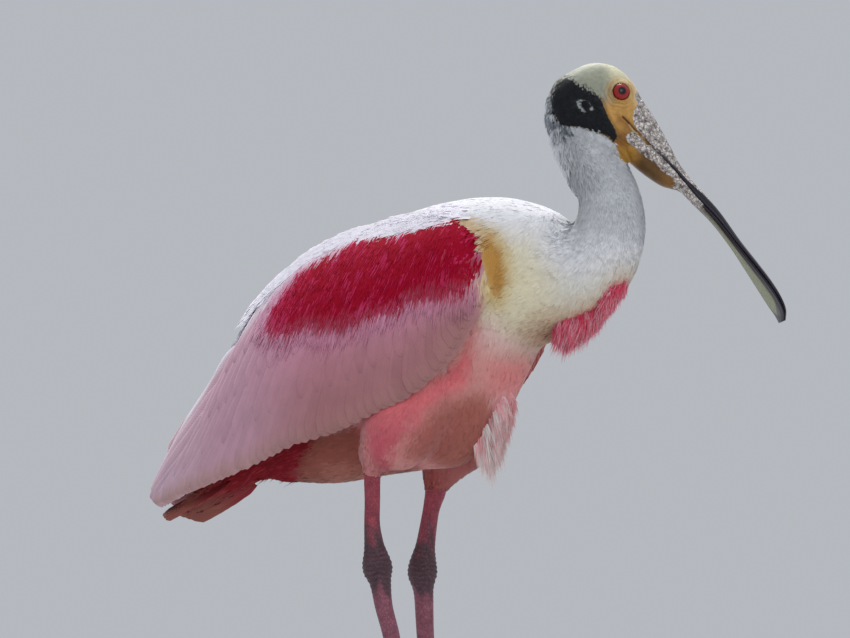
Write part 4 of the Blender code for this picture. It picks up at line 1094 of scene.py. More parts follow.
def scaled(tree, colour):
    """Light scaly bumps with dark cracks where the piece is scaly: the colour, and a height."""
    edge = maths(
        tree, "ADD", attribute(tree, "scaly"), spread(tree, noise(tree, 500.0, 4.0, 0.6), 0.3, 0.7, -0.3, 0.3)
    )
    share = spread(tree, edge, 0.40, 0.60)
    cells = add(tree, "ShaderNodeTexVoronoi", feature="DISTANCE_TO_EDGE", Scale=360.0)
    place = add(tree, "ShaderNodeTexCoord").outputs["Object"]
    tree.links.new(place, cells.inputs["Vector"])
    plates = spread(tree, cells.outputs["Distance"], -0.08, 0.16)
    ragged = spread(tree, noise(tree, 330.0, 6.0, 0.7), 0.36, 0.52)
    light = maths(tree, "MULTIPLY", plates, ragged)
    horn = mix(tree, light, rgb(88, 72, 70), rgb(246, 238, 232))
    fleck = spread(tree, noise(tree, 700.0, 4.0, 0.6), 0.52, 0.64, 0.0, 0.6)
    horn = mix(tree, fleck, horn, rgb(132, 104, 84))
    height = maths(tree, "MULTIPLY", light, share)
    return mix(tree, share, colour, horn), height


def skin_material():
    """Bare wrinkled skin on the head, with the same markings below the plumage elsewhere."""
    material, tree, shader = nodes_of("bare_skin")
    colour = attribute(tree, "plumage", "Color")
    mottle = spread(tree, noise(tree, 300.0, 5.0, 0.6), 0.3, 0.7, 0.84, 1.12)
    colour = toned(tree, colour, mottle)
    colour, plates = scaled(tree, colour)
    ragged = maths(
        tree, "ADD", attribute(tree, "band"),
        spread(tree, noise(tree, 620.0, 6.0, 0.75), 0.30, 0.70, -0.38, 0.38),
    )
    black = spread(tree, ragged, 0.45, 0.60)
    dark = toned(
        tree, mix(tree, 0.0, rgb(22, 24, 28), rgb(22, 24, 28)),
        spread(tree, noise(tree, 500.0), 0.3, 0.7, 0.6, 1.5),
    )
    colour = mix(tree, black, colour, dark)
    tree.links.new(colour, shader.inputs["Base Color"])
    fine = noise(tree, 900.0, 6.0, 0.7)
    folds = noise(tree, 240.0, 3.0, 0.5, (1.0, 1.0, 2.2))
    height = maths(tree, "ADD", maths(tree, "ADD", fine, folds), maths(tree, "MULTIPLY", plates, 2.0))
    bumped(tree, shader, height, 0.0005, 0.6)
    set_inputs(
        shader, Roughness=0.55, Specular_IOR_Level=0.35, Subsurface_Weight=0.06,
        Subsurface_Radius=(0.002, 0.001, 0.0005),
    )
    return material


def bill_material(name):
    """Horn: light scaly bumps on dark grey near the face, smooth and dark towards the tip."""
    material, tree, shader = nodes_of(name)
    colour = attribute(tree, "plumage", "Color")
    streaks = spread(tree, noise(tree, 300.0, 4.0), 0.3, 0.7, 0.80, 1.18)
    colour = toned(tree, colour, streaks)
    colour, plates = scaled(tree, colour)
    tree.links.new(colour, shader.inputs["Base Color"])
    bumped(
        tree, shader, maths(tree, "ADD", plates, maths(tree, "MULTIPLY", noise(tree, 700.0), 0.15)), 0.0008,
        0.7,
    )
    set_inputs(shader, Roughness=0.32, Specular_IOR_Level=0.35)
    return material


def leg_material():
    """Scaly leg skin."""
    material, tree, shader = nodes_of("leg_skin")
    colour = attribute(tree, "plumage", "Color")
    place = add(tree, "ShaderNodeTexCoord").outputs["Object"]
    mapping = add(tree, "ShaderNodeMapping")
    mapping.inputs["Scale"].default_value = (1.0, 1.0, 0.7)
    tree.links.new(place, mapping.inputs["Vector"])
    cells = add(tree, "ShaderNodeTexVoronoi", feature="DISTANCE_TO_EDGE", Scale=520.0)
    tree.links.new(mapping.outputs["Vector"], cells.inputs["Vector"])
    plates = spread(tree, cells.outputs["Distance"], 0.0, 0.16)
    mottle = spread(tree, noise(tree, 200.0, 5.0, 0.65), 0.3, 0.7, 0.72, 1.28)
    colour = toned(tree, colour, maths(tree, "MULTIPLY", mottle, spread(tree, plates, 0.0, 1.0, 0.78, 1.04)))
    tree.links.new(colour, shader.inputs["Base Color"])
    bumped(tree, shader, plates, 0.0003, 0.7)
    set_inputs(shader, Roughness=0.5, Specular_IOR_Level=0.4)
    return material


def eye_material():
    """Wet eye: the iris and pupil under a clear glossy coat."""
    material, tree, shader = nodes_of("eye")
    colour = toned(
        tree, attribute(tree, "plumage", "Color"), spread(tree, noise(tree, 1400.0), 0.3, 0.7, 0.7, 1.3)
    )
    tree.links.new(colour, shader.inputs["Base Color"])
    set_inputs(shader, Roughness=0.5, Specular_IOR_Level=0.15, Coat_Weight=0.8, Coat_Roughness=0.03)
    return material


def claw_material():
    material, tree, shader = nodes_of("claw_horn")
    shade = spread(tree, noise(tree, 500.0, 3.0, 0.6, (1.0, 1.0, 3.0)), 0.3, 0.7, 0.6, 1.5)
    base = mix(tree, 0.0, rgb(48, 42, 42), rgb(48, 42, 42))
    tree.links.new(toned(tree, base, shade), shader.inputs["Base Color"])
    bumped(tree, shader, noise(tree, 900.0), 0.0001, 0.4)
    set_inputs(shader, Roughness=0.35)
    return material


# Skin


BLACK_BAND = (
    (-18.3, 455.1), (-14.9, 452.5), (-11.9, 449.4), (-7.5, 446.5), (-3.7, 444.4), (0.9, 441.7), (4.2, 437.6),
    (5.5, 433.7),
    (7.6, 428.4), (11.2, 422.7), (14.1, 418.2), (15.1, 414.5), (13.4, 411.4), (10.3, 414.4), (6.8, 416.2),
    (2.0, 416.8),
    (-3.4, 418.0), (-8.8, 419.9), (-14.1, 420.5), (-19.4, 420.6), (-23.3, 421.3), (-25.9, 424.7),
    (-28.4, 428.8),
    (-29.0, 434.3), (-28.2, 440.4), (-27.3, 445.3), (-24.3, 450.4),
)
EAR_PATCHES = (
    ((-13.9, 438.5), (-9.7, 437.8), (-8.5, 434.2), (-5.8, 430.1), (-8.4, 429.4), (-11.8, 432.9)),
    ((-5.1, 437.8), (-2.5, 434.9), (-0.3, 432.7), (-1.1, 429.9), (-4.5, 431.6), (-4.0, 434.2)),
    ((-12.0, 438.9), (-4.6, 438.5), (-4.9, 437.5), (-11.0, 437.7)),
)
HORN = (
    (29.0, 446.0), (27.6, 441.5), (29.6, 437.0), (26.8, 432.7), (25.4, 428.5), (26.0, 424.8), (28.2, 420.4),
    (31.6, 415.8),
    (31.0, 414.8), (26.4, 418.4), (22.6, 417.4), (20.8, 414.6), (24.3, 409.4), (28.9, 406.0), (34.3, 402.1),
    (41.0, 397.5), (45.8, 392.9), (52.6, 387.7), (59.8, 379.4), (66.0, 372.0), (90.0, 350.0), (96.0, 372.0),
    (60.0, 420.0),
    (40.0, 440.0),
)
MOUTH_LINE = ((18.6, 427.4), (20.4, 426.0), (22.9, 423.7), (25.8, 420.5), (31.4, 415.7), (37.5, 409.6))


def head_markings(points):
    """Colours of the bare head, how black each place is, and how scaly."""
    along, side, z = in_head(points)
    plane = np.stack([along, z], -1)
    colours = np.tile(rgb(166, 168, 148), (len(points), 1))

    def lay(share, colour):
        nonlocal colours
        colours = toward(colours, colour, share)

    ridge = step(0.011, 0.004, abs(side)) * step(0.454, 0.460, z)
    lay(step(-0.014, -0.002, along) * ridge, rgb(196, 196, 168))
    lay(step(0.004, 0.016, along) * step(0.446, 0.452, z), rgb(232, 226, 190))
    lower = step(
        0.0045, -0.0075,
        z - np.interp(along, (-0.01, 0.004, 0.012, 0.022, 0.034), (0.432, 0.438, 0.440, 0.4500, 0.456)),
    )
    lay(lower, rgb(214, 162, 86))
    front = step(0.021, 0.029, along) * step(0.432, 0.442, z)
    lay(front, rgb(242, 216, 168))
    apart = np.hypot(along - EYE_AT[0], z - EYE_AT[1])
    lay(step(0.0125, 0.008, apart) * 0.55, rgb(214, 170, 100))
    turn = np.arctan2(z - EYE_AT[1], along - EYE_AT[0])
    # Dark rings round the eye, stronger on its lower side: painted shade in the creases of the skin's folds
    folds = (
        0.5 + 0.5 * np.sin(apart / FOLD_WIDTH * math.pi + 1.3 * np.sin(turn * 3) + 0.8 * np.sin(turn * 7 + 1))
    )
    below = 0.25 + 0.75 * step(-0.2, 0.9, np.cos(turn + 2.2))
    lay(folds * below * step(0.0150, 0.010, apart) * 0.40, rgb(136, 88, 44))
    cheek = depth_in(((15, 429), (23, 426), (30, 420), (27, 416), (20, 421), (14, 424)), plane)
    lay(step(-0.003, 0.003, cheek) * 0.75, rgb(150, 94, 40))
    lay(step(0.424, 0.414, z) * step(0.010, 0.018, along), rgb(150, 102, 44))
    lay(step(0.412, 0.406, z), rgb(184, 138, 62))
    pale = depth_in(
        ((-8, 419), (2, 416.6), (9, 414.6), (14, 410.6), (15, 407), (9, 409), (0, 411), (-10, 413)), plane
    )
    lay(step(-0.001, 0.0012, pale), rgb(224, 218, 206))
    shut = depth_along(MOUTH_LINE, along, z)
    lay(step(0.0010, 0.0003, shut) * 0.9, rgb(60, 38, 22))
    under = depth_along([(a + 0.2, b - 1.5) for a, b in MOUTH_LINE[2:]], along, z)
    lay(step(0.0010, 0.0004, under) * 0.7, rgb(222, 190, 132))
    within = depth_in(BLACK_BAND, plane)
    loose = np.maximum(step(0.437, 0.443, z) * step(0.008, 0.002, along), step(-0.018, -0.026, along))
    streaks = (
        np.sin(along * 2300 + z * 900) + np.sin(along * 1370 - z * 1900 + 2.0) + np.sin(along * 3900 + 1.0)
    )
    within = within + streaks * 0.0007 * loose
    soft = 0.0012 + 0.0018 * loose
    lay(step(-0.0030, -0.0004, within) * step(0.0, 0.004, along) * 0.55, rgb(112, 76, 34))
    black = step(-1, 1, within / soft)
    behind = step(-0.024, -0.030, along) * (1 - black)
    lay(behind, rgb(208, 210, 214))
    black = np.maximum(black, 0.36 * behind)
    stubble = step(0.010, 0.001, -within) * step(0.436, 0.446, z) * (along < 0.004)
    black = np.maximum(black, 0.30 * stubble * (black < 0.3))
    lay(stubble * 0.35, rgb(150, 152, 140))
    for patch in EAR_PATCHES:
        share = step(-0.0010, 0.0012, depth_in(patch, plane))
        lay(share, rgb(160, 164, 166))
        black *= 1 - 0.60 * share
    scaly = step(-0.0016, 0.0016, depth_in(HORN, plane))
    scaly *= 1 - step(0.0013, 0.0006, shut) * 0.8
    return colours, black, scaly


def eye_axes(side):
    outward = unit(HEAD_LEFT * side + HEAD_AHEAD * EYE_AHEAD + UP * EYE_UP)
    return head_point(EYE_AT[0], EYE_AT[1], side * EYE_SIDE), outward


def shape_head(points, normals):
    """Set the lids on the eyes, and fold the skin round eyes, ears and mouth."""
    along, side, z = in_head(points)
    for way in (-1, 1):
        centre, outward = eye_axes(way)
        off = points - centre
        out = off @ outward
        apart = np.linalg.norm(off - out[:, None] * outward, axis=1)
        near = (out > -0.002) & (apart < 0.013)
        ball = np.sqrt(np.maximum(EYE_RADIUS**2 - apart**2, 0))
        over = apart - LID_RIM
        outer = math.sqrt(EYE_RADIUS**2 - LID_RIM**2) + 0.0008 - over * 0.35
        lid = np.where(apart > LID_RIM, np.maximum(outer, 0), ball - LID_DEPTH)
        blend = step(0.0105, 0.0068, apart) * near
        turn = np.arctan2(off[:, 2], off @ HEAD_AHEAD)
        below = 0.35 + 0.65 * step(-0.2, 0.9, np.cos(turn + 2.2))
        wave = np.sin((apart - LID_RIM) / FOLD_WIDTH * math.pi + 0.9 * np.sin(turn * 3))
        fold = 0.00026 * wave * below * step(0.0130, 0.0080, apart) * (apart > LID_RIM) * near
        points = points + outward * ((lid - out) * blend + fold)[:, None]
    hearing = np.hypot((along - EAR_AT[0]) / 1.25, z - EAR_AT[1])
    ear = (
        -0.0010 * step(0.0024, 0.0006, hearing)
        + 0.0004 * step(0.0056, 0.0040, hearing) * step(0.0018, 0.0030, hearing)
    )
    mouth = depth_along(MOUTH_LINE, along, z)
    crease = (
        -0.0007 * step(0.0011, 0.0, mouth)
        + 0.0003 * step(0.0026, 0.0016, mouth) * step(0.0008, 0.0016, mouth)
    )
    crease *= abs(side) > 0.006
    flow = along * 1500 + z * 2300 + 2.5 * np.sin(z * 600 + along * 300)
    wrinkle = 0.00011 * np.sin(flow) * step(0.004, 0.010, abs(side)) * (along > 0.002) * step(0.452, 0.440, z)
    bare = step(0.400, 0.412, z)
    return points + normals * ((ear + crease + wrinkle) * bare)[:, None]


def depth_along(line, along, z):
    """Distance from a line of points in the head's plane."""
    nearest = np.full(len(along), 1e9)
    for a, b in zip(line[:-1], line[1:]):
        a, b = np.array(a) * MM, np.array(b) * MM
        way = b - a
        share = np.clip(((along - a[0]) * way[0] + (z - a[1]) * way[1]) / (way @ way), 0, 1)
        nearest = np.minimum(nearest, np.hypot(along - a[0] - share * way[0], z - a[1] - share * way[1]))
    return nearest


def bare_share(points):
    """1 on the bald head, 0 where feathers grow."""
    along, side, z = in_head(points)
    plane = np.stack([along, z], -1)
    outline = (
        (-29, 444), (-28.5, 432), (-25, 424), (-19, 421.5), (-8, 420.2), (2, 416.6), (8, 413), (13.5, 409.5),
        (14.5, 406),
        (17, 398), (60, 390), (60, 480), (-20, 480), (-24, 458),
    )
    return step(-0.0006, 0.0010, depth_in(outline, plane)) * (z > 0.385) * (points[:, 0] > HEAD_BEGINS)


def coat_depth(points):
    """How far the skin lies inside the plumage's surface."""
    neck = step(0.30, 0.36, points[:, 2]) * step(0.095, 0.125, points[:, 0])
    depth = 0.0022 * (1 - neck) + 0.0013 * neck
    return depth * (1 - bare_share(points))


def shoulder_fill():
    """The flesh that fills the hollow between the back's end and the neck's root."""
    rows = (
        (0.086, 0.3705, 0.038), (0.098, 0.3680, 0.036), (0.108, 0.3645, 0.032), (0.117, 0.3605, 0.028),
        (0.125, 0.3560, 0.024), (0.133, 0.349, 0.018),
    )
    rings = []
    for x, top, half in smooth_rows(rows, 24):
        rings.append(oval(np.array((x, 0.0, top)), np.array((x, 0.0, 0.305)), LEFT, half, 36))
    return loft(rings)


def back_fill():
    """The rump and lower back between the ridges of the folded wings."""
    rings = []
    for along in np.linspace(0.12, 0.88, 40):
        ridge = wing_point(1, along, 0.0)
        middle = ridge * (1, 0, 1)
        rings.append(oval(middle - UP * 0.0015, middle - UP * 0.032, LEFT, ridge[1] + 0.0015, 28))
    return loft(rings)


def flank_fill(side):
    """The flesh between the breast's side and the front half of the folded wing."""
    rings = []
    for along in np.linspace(0.015, 0.46, 30):
        heights = np.linspace(0.40, 0.90 - 0.10 * float(step(0.06, 0.015, along)), 8)
        places = np.full(8, along)
        outer = wing_point(side, places, heights) - wing_normal(side, places, heights) * 0.0035
        inner = outer[::-1] * (1, 0, 1) + LEFT * side * 0.018
        rings.append(np.vstack([outer, inner]))
    return loft(rings)


def make_skin():
    parts = [
        shoulder_fill(),
        back_fill(),
        flank_fill(-1),
        flank_fill(1),
        body_loft(TORSO, 60, 56, TORSO_FULLNESS, TORSO_KEEL),
        tube(NECK, 44, 70),
        head_loft(50, 48),
        body_loft(TAIL, 16, 28),
        tube(THIGHS["right"], 36, 34),
        tube(THIGHS["left"], 36, 34),
        wing_core(-1, CORE_INSET, CORE_END, CORE_END),
        wing_core(1, CORE_INSET, CORE_END, CORE_END),
    ]
    mesh = melted("skin", parts, SKIN_VOXEL, MELT_PASSES)
    for side in (-1, 1):
        smooth_near(mesh, np.array((0.052, side * 0.044, 0.250)), 0.020, 40)
    points = points_of(mesh)
    set_points(mesh, points - normals_of(mesh) * coat_depth(points)[:, None])

    def on_head(places):
        along, side, z = in_head(places)
        return (z > 0.398) & (along > -0.036) & (places[:, 0] > HEAD_BEGINS)

    def on_face(places):
        along, side, z = in_head(places)
        return on_head(places) & (along > -0.014)

    refined(mesh, on_head, 1)
    refined(mesh, on_face, 1)
    points, normals = points_of(mesh), normals_of(mesh)
    head = on_head(points)
    points[head] = shape_head(points[head], normals[head])
    set_points(mesh, points)
    bare = bare_share(points)
    colours = body_colour(points)
    own, black, scaly = head_markings(points)
    colours = toward(colours, own, bare)
    here = (points[:, 2] > 0.390) & (points[:, 0] > HEAD_BEGINS)
    nape = step(0.404, 0.420, points[:, 2]) * step(-0.012, -0.022, in_head(points)[0]) * (1 - bare)
    paint(mesh, colours)
    keep_number(mesh, "band", np.maximum(black * here * bare, nape * 0.40))
    keep_number(mesh, "scaly", scaly * here * bare)
    return mesh


# Coat


def lies(points, normals):
    """The way the feathers point, over torso, neck, head and thighs."""
    front = step(0.10, 0.60, normals[:, 0])
    low = step(0.25, -0.50, normals[:, 2])
    back = np.array((-1.0, 0.0, -0.42))
    side = np.array((-0.80, 0.0, -0.75))
    breast = np.array((-0.30, 0.0, -1.0))
    belly = np.array((-1.0, 0.0, -0.12))
    way = back + (side - back) * step(0.75, 0.20, normals[:, 2])[:, None]
    way = way + (belly - way) * low[:, None]
    way = way + (breast - way) * front[:, None]
    thigh = thigh_share(points)
    way = way + (np.array((-0.22, 0.0, -1.0)) - way) * thigh[:, None]
    line = smooth_rows(NECK, 40)[:, :3]
    tangents = unit(np.gradient(line, axis=0))
    nearest = np.linalg.norm(points[:, None] - line[None], axis=2).argmin(axis=1)
    on_neck = step(0.315, 0.345, points[:, 2]) * step(0.105, 0.125, points[:, 0])
    way = way + (-tangents[nearest] - way) * on_neck[:, None]
    return unit(way)


def under_wing(points):
    """True where a place lies below a folded wing."""
    along, height = np.meshgrid(np.linspace(0, 1, 60), np.linspace(0, 1, 30), indexing="ij")
    hidden = np.zeros(len(points), bool)
    for side in (-1, 1):
        places = wing_point(side, along, height).reshape(-1, 3)
        mine = np.where(points[:, 1] * side > -0.002)[0]
        for part in np.array_split(mine, max(1, len(mine) // 4000)):
            if len(part) == 0:
                continue
            apart = np.linalg.norm(points[part][:, None] - places[None], axis=2)
            nearest = apart.argmin(axis=1)
            at, deep = along.ravel()[nearest], height.ravel()[nearest]
            inner = (deep > 0.10) & (deep < 0.90) & (at > 0.04) & (at < 0.97)
            hidden[part] |= inner & (apart.min(axis=1) < 0.03)
    return hidden


def turned(ways, normals, spread_angle):
    """Ways turned a little at random about the normals."""
    angle = RNG.normal(0, spread_angle, len(ways))[:, None]
    return unit(ways * np.cos(angle) + np.cross(normals, ways) * np.sin(angle))


def shaded(colours, root=0.92, middle=1.0, tip=1.02):
    """A tuft's colours at its root, middle and tip: darker at the root, as painted shade among the feathers."""
    return np.clip(np.stack([colours * root, colours * middle, colours * tip], 1), 0, 1)


def neck_share(points):
    """0 on the body, 1 on the neck, changing over little by little."""
    return step(0.306, 0.352, points[:, 2]) * step(0.098, 0.130, points[:, 0])


def make_coat(skin, tree, outer, plumage, neck_plumage):
    """The plumage of torso, thighs and neck: longer and flatter on the back, short and fluffy on the neck."""

    def density(points, normals):
        return (1 - bare_share(points)) * (1 + 0.5 * thigh_share(points) + 2.4 * neck_share(points))

    root, normal = scattered(skin, COAT_TUFTS, density)
    keep = ~under_wing(root)
    root, normal = root[keep], normal[keep]
    neck = neck_share(root)
    is_neck = RNG.random(len(root)) < neck
    thigh, back = thigh_share(root), step(0.2, 0.8, normal[:, 2]) * (1 - neck)
    high = step(0.37, 0.425, root[:, 2])
    crop = step(0.312, 0.290, root[:, 2]) * step(0.098, 0.116, root[:, 0])
    length = 0.0135 * (1 - 0.30 * thigh) * (1 + 0.45 * back) * (1 - 0.20 * crop)
    z = root[:, 2]
    before_wing = (
        step(0.098, 0.084, root[:, 0]) * (abs(root[:, 1]) > 0.028) * step(0.280, 0.295, z)
        * step(0.352, 0.338, z)
    )
    length *= 1 - 0.5 * before_wing * (1 - thigh)
    nape = step(0.376, 0.396, z) * step(0.432, 0.418, z) * step(0.0, -0.85, normal @ HEAD_AHEAD) * neck
    length = (
        (length + (0.0080 - 0.0035 * high + 0.005 * nape - length) * neck)
        * RNG.uniform(0.75, 1.25, len(root))
    )
    rise = (0.0007 - 0.0003 * back + 0.0005 * crop) * (1 - neck) + 0.0007 * neck + 0.0033 * nape
    rise = rise * RNG.uniform(0.7, 1.3, len(root))
    lie = turned(lies(root, normal), normal, 0.13)
    over = (root[:, 2] > 0.303) & (root[:, 0] < 0.112)
    path, ways = np.empty((len(root), 3, 3)), np.empty((len(root), 3, 3))
    for chosen, surface in ((over, outer), (~over, tree)):
        path[chosen], ways[chosen] = laid(
            surface, root[chosen], normal[chosen], lie[chosen], length[chosen], rise[chosen], 0.0004
        )
    clear = ~over_patch(path)
    root, normal, neck, is_neck, high = root[clear], normal[clear], neck[clear], is_neck[clear], high[clear]
    path, ways = path[clear], ways[clear]
    colours = body_colour(path[:, 1])
    head_along = in_head(root)[0]
    beside = -depth_in(BLACK_BAND, np.stack([head_along, root[:, 2]], -1))
    speck = 0.62 * step(0.0085, 0.0, beside) * step(-0.012, -0.021, head_along) * (root[:, 2] > 0.40)
    dark = RNG.random(len(root)) < speck
    colours = np.where(dark[:, None], rgb(106, 112, 121), colours)
    high = np.maximum(high, step(0.398, 0.416, root[:, 2]) * step(-0.006, -0.018, head_along) * 1.35)
    grey = (RNG.random(len(root)) < 0.22 * neck)[:, None]
    colours = np.where(grey, colours * 0.82, colours)
    width = (0.0050 * (1 - neck) + (0.0036 - 0.0014 * high) * neck) * RNG.uniform(0.8, 1.2, len(root))
    spots = skin_uv(root)
    body = ~is_neck
    shades = shaded(colours[body])
    for part in (0, 2):
        own = body_colour(path[body][:, part])
        shades[:, part] *= own / np.maximum(colours[body], 0.01)
    shades = np.clip(shades, 0, 1)
    tufts(
        "body_coat", path[body], ways[body], width[body], shades, spots[body], 4, 2, plumage
    )
    tufts(
        "neck_coat", path[is_neck], ways[is_neck], width[is_neck], shaded(colours[is_neck], 0.88),
        spots[is_neck],
        4, 1, neck_plumage, {"ragged": 0.4, "tone": 0.06},
    )


def make_band_coat(skin, tree, material):
    """Velvet of very short feathers on the black band and its ragged edges."""

    def density(points, normals):
        along, side, z = in_head(points)
        within = depth_in(BLACK_BAND, np.stack([along, z], -1))
        soft = (
            0.0004
            + 0.0036 * np.maximum(
                step(0.437, 0.443, z) * step(0.008, 0.002, along), step(-0.018, -0.026, along)
            )
        )
        for patch in EAR_PATCHES:
            within = np.where(depth_in(patch, np.stack([along, z], -1)) > 0, -1, within)
        return (
            step(-1, 1, (within - 0.0004) / soft) * (z > 0.40) * (points[:, 0] > HEAD_BEGINS) * (along < 0.03)
        )

    root, normal = scattered(skin, BAND_TUFTS, density)
    along, side, z = in_head(root)
    lie = -HEAD_AHEAD * 0.8 - UP * (0.25 + 0.8 * step(0.0, 0.012, along))[:, None]
    length = RNG.uniform(0.0018, 0.0036, len(root)) * (1 + 0.5 * step(-0.016, -0.026, along))
    path, ways = laid(
        tree, root, normal, turned(lie, normal, 0.3), length, np.full(len(root), 0.00035), 0.0002
    )
    tone = RNG.uniform(0.6, 1.5, len(root))[:, None]
    colours = rgb(27, 29, 34) * tone
    width = RNG.uniform(0.0010, 0.0016, len(root))
    shape = {"ragged": 0.4, "fineness": 1.4, "tone": 0.15}
    tufts(
        "band_coat", path, ways, width, shaded(colours), skin_uv(root), 3, 1, material, shape
    )


def make_mantle(outer, plumage):
    """Long soft feathers of back and shoulders, over the tops of the wings."""
    count = MANTLE_TUFTS
    along, side = 0.05 + 0.95 * RNG.random(count) ** 0.9, RNG.choice((-1.0, 1.0), count)
    ridge = wing_point(1, along * 0.66, np.zeros(count)) * np.stack([np.ones(count), side, np.ones(count)], 1)
    up = np.minimum(
        RNG.uniform(-0.010 + 0.008 * step(0.24, 0.10, along), 0.022, count), abs(ridge[:, 1]) * 1.15
    )
    inward = unit(np.stack([np.zeros(count), -side, 0.75 * np.ones(count)], 1))
    root, normal = settled(
        outer, ridge + inward * up[:, None], unit(np.stack([np.zeros(count), side * 0.8, np.ones(count)], 1)),
        0.02,
    )
    lie = unit(np.stack([-np.ones(count), side * 0.10, -0.30 - 0.35 * along], 1))
    length = RNG.uniform(0.018, 0.030, count) * (1 - 0.2 * along)
    path, ways = laid(outer, root, normal, turned(lie, normal, 0.10), length, np.full(count, 0.0007), 0.0016)
    lean = np.clip(path[..., 1] / np.maximum(abs(ridge[:, 1]), 0.012)[:, None], -1.3, 1.3)
    ways = unit(np.stack([np.zeros(lean.shape), lean * 0.75, np.ones(lean.shape)], -1))
    clear = ~over_patch(path)
    path, ways, root, width = (
        path[clear], ways[clear], root[clear], 0.0062 * RNG.uniform(0.8, 1.2, clear.sum())
    )
    colours = wing_colour(path[:, 1], np.zeros(len(root)))
    tufts("mantle", path, ways, width, shaded(colours, 0.97), skin_uv(root), 4, 2, plumage)


def hanging(
    name, roots, normals, falls, length, width, colours, material, count, bend, tips, painted_root_shade=0.80,
    sideways=0.0,
):
    """Long loose tufts that hang from the skin."""
    middle = roots + (normals * bend + falls * (1 - bend)) * length[:, None] * 0.5
    tip = roots + (normals * bend * 0.5 + falls) * length[:, None]
    path = np.stack([roots - normals * 0.001, middle, tip], 1)
    turn = (RNG.random(len(roots)) < sideways) * np.where(roots[:, 1] > 0.003, 1.0, -1.0)
    out = unit(normals * (1 - 0.8 * abs(turn))[:, None] + LEFT * turn[:, None] + 1e-4)
    ways = np.stack([out, out, out], 1)
    # Darker roots: painted shade among the tufts
    shades = shaded(colours, painted_root_shade, 1.0, 1.05)
    shades[:, 2] = tips
    shades[:, 1] = shades[:, 1] * 0.8 + tips * 0.2
    shape = {"fan": (0.4, 0.9, 1.3), "ragged": 0.45, "lift": 0.0009, "fineness": 1.2}
    tufts(name, path, ways, width, shades, skin_uv(roots), count, 2, material, shape)


def make_crop_tuft(skin, material):
    def density(points, normals):
        zone = depth_in(CROP_RED, points[:, [0, 2]])
        return step(-0.002, 0.002, zone) * (points[:, 0] > 0.10) * (abs(points[:, 1]) < 0.034)

    root, normal = scattered(skin, CROP_TUFTS, density)
    fall = unit(np.tile((-0.42, 0.0, -1.0), (len(root), 1)) + RNG.normal(0, 0.17, (len(root), 3)))
    low = step(0.312, 0.280, root[:, 2])
    length = (0.0085 + 0.0085 * low) * RNG.uniform(0.6, 1.25, len(root))
    width = 0.0042 * RNG.uniform(0.7, 1.2, len(root))
    # Crimson, pink and pale-tipped strands: the tuft's own colours, made brighter as painted light for the
    # backlight shining through it
    red = np.where((RNG.random(len(root)) < 0.66)[:, None], rgb(255, 82, 116), rgb(255, 160, 178))
    pale = np.where((RNG.random(len(root)) < 0.42)[:, None], rgb(255, 226, 232), red * 1.05)
    hanging(
        "crop_tuft", root, normal, fall, length, width, red, material, 5, 0.42,
        np.clip(pale, 0, 1),
    )


def make_breast_tuft(skin, material):
    """The loose tuft that hangs before the breast: pink above, white below."""
    def density(points, normals):
        z = points[:, 2]
        ridge = step(0.30, 0.75, normals[:, 0]) * step(0.014, 0.005, abs(points[:, 1] - 0.003))
        return ridge * step(0.208, 0.216, z) * step(0.248, 0.232, z)

    root, normal = scattered(skin, BREAST_TUFTS, density)
    share = step(0.244, 0.212, root[:, 2])
    fall = unit(np.tile((0.14, -0.04, -1.0), (len(root), 1)) + RNG.normal(0, 0.05, (len(root), 3)))
    length = (0.017 + 0.012 * share) * RNG.uniform(0.6, 1.15, len(root))
    width = 0.0044 * RNG.uniform(0.7, 1.2, len(root))
    pink, white = rgb(255, 182, 188), rgb(255, 240, 236)
    chance = 0.30 + 0.5 * share
    colours = np.where((RNG.random(len(root)) < chance)[:, None], white, pink)
    tips = np.where((RNG.random(len(root)) < 0.8)[:, None], white, pink)
    hanging(
        "breast_tuft", root, normal, fall, length, width, colours, material, 7, 0.10, tips,
        0.98, 0.7,
    )


# Wings

# Rows of wing feathers: count, first and last tip along the wing, tip height, root height, sweep at the
# shoulder and its growth towards the tip, width at the shoulder and at the tip, and lift
WING_TIERS = (
    (52, 0.03, 0.980, 1.00, 0.42, 0.10, 0.17, 0.0200, 0.0130, 0.0010),
    (26, 0.03, 0.860, 0.82, 0.25, 0.09, 0.15, 0.0210, 0.0140, 0.0011),
    (24, 0.03, 0.780, 0.60, 0.08, 0.08, 0.13, 0.0210, 0.0140, 0.0012),
    (20, 0.03, 0.700, 0.38, 0.02, 0.07, 0.11, 0.0210, 0.0140, 0.0012),
)
WING_POINT = ((0.992, 0.88), (1.000, 0.62), (0.992, 0.36), (0.978, 0.12), (0.955, 0.04))
VANE_SHAPE = ((0.0, 0.45), (0.15, 0.80), (0.45, 1.0), (0.86, 0.98), (0.95, 0.88), (0.985, 0.70), (1.0, 0.40))
VANE_THICKNESS = 0.0003
BARB_SPACING = 0.00035
VANE_ROLL = 0.0012
# The wing's flesh: how deep it lies, and where it ends along and across the wing
CORE_INSET = 0.0030
CORE_END = 0.84
TAIL_VANES = 12
TAIL_VANE_WIDTH = 0.0175
VANE_ROWS = 19
VANE_COLUMNS = 7


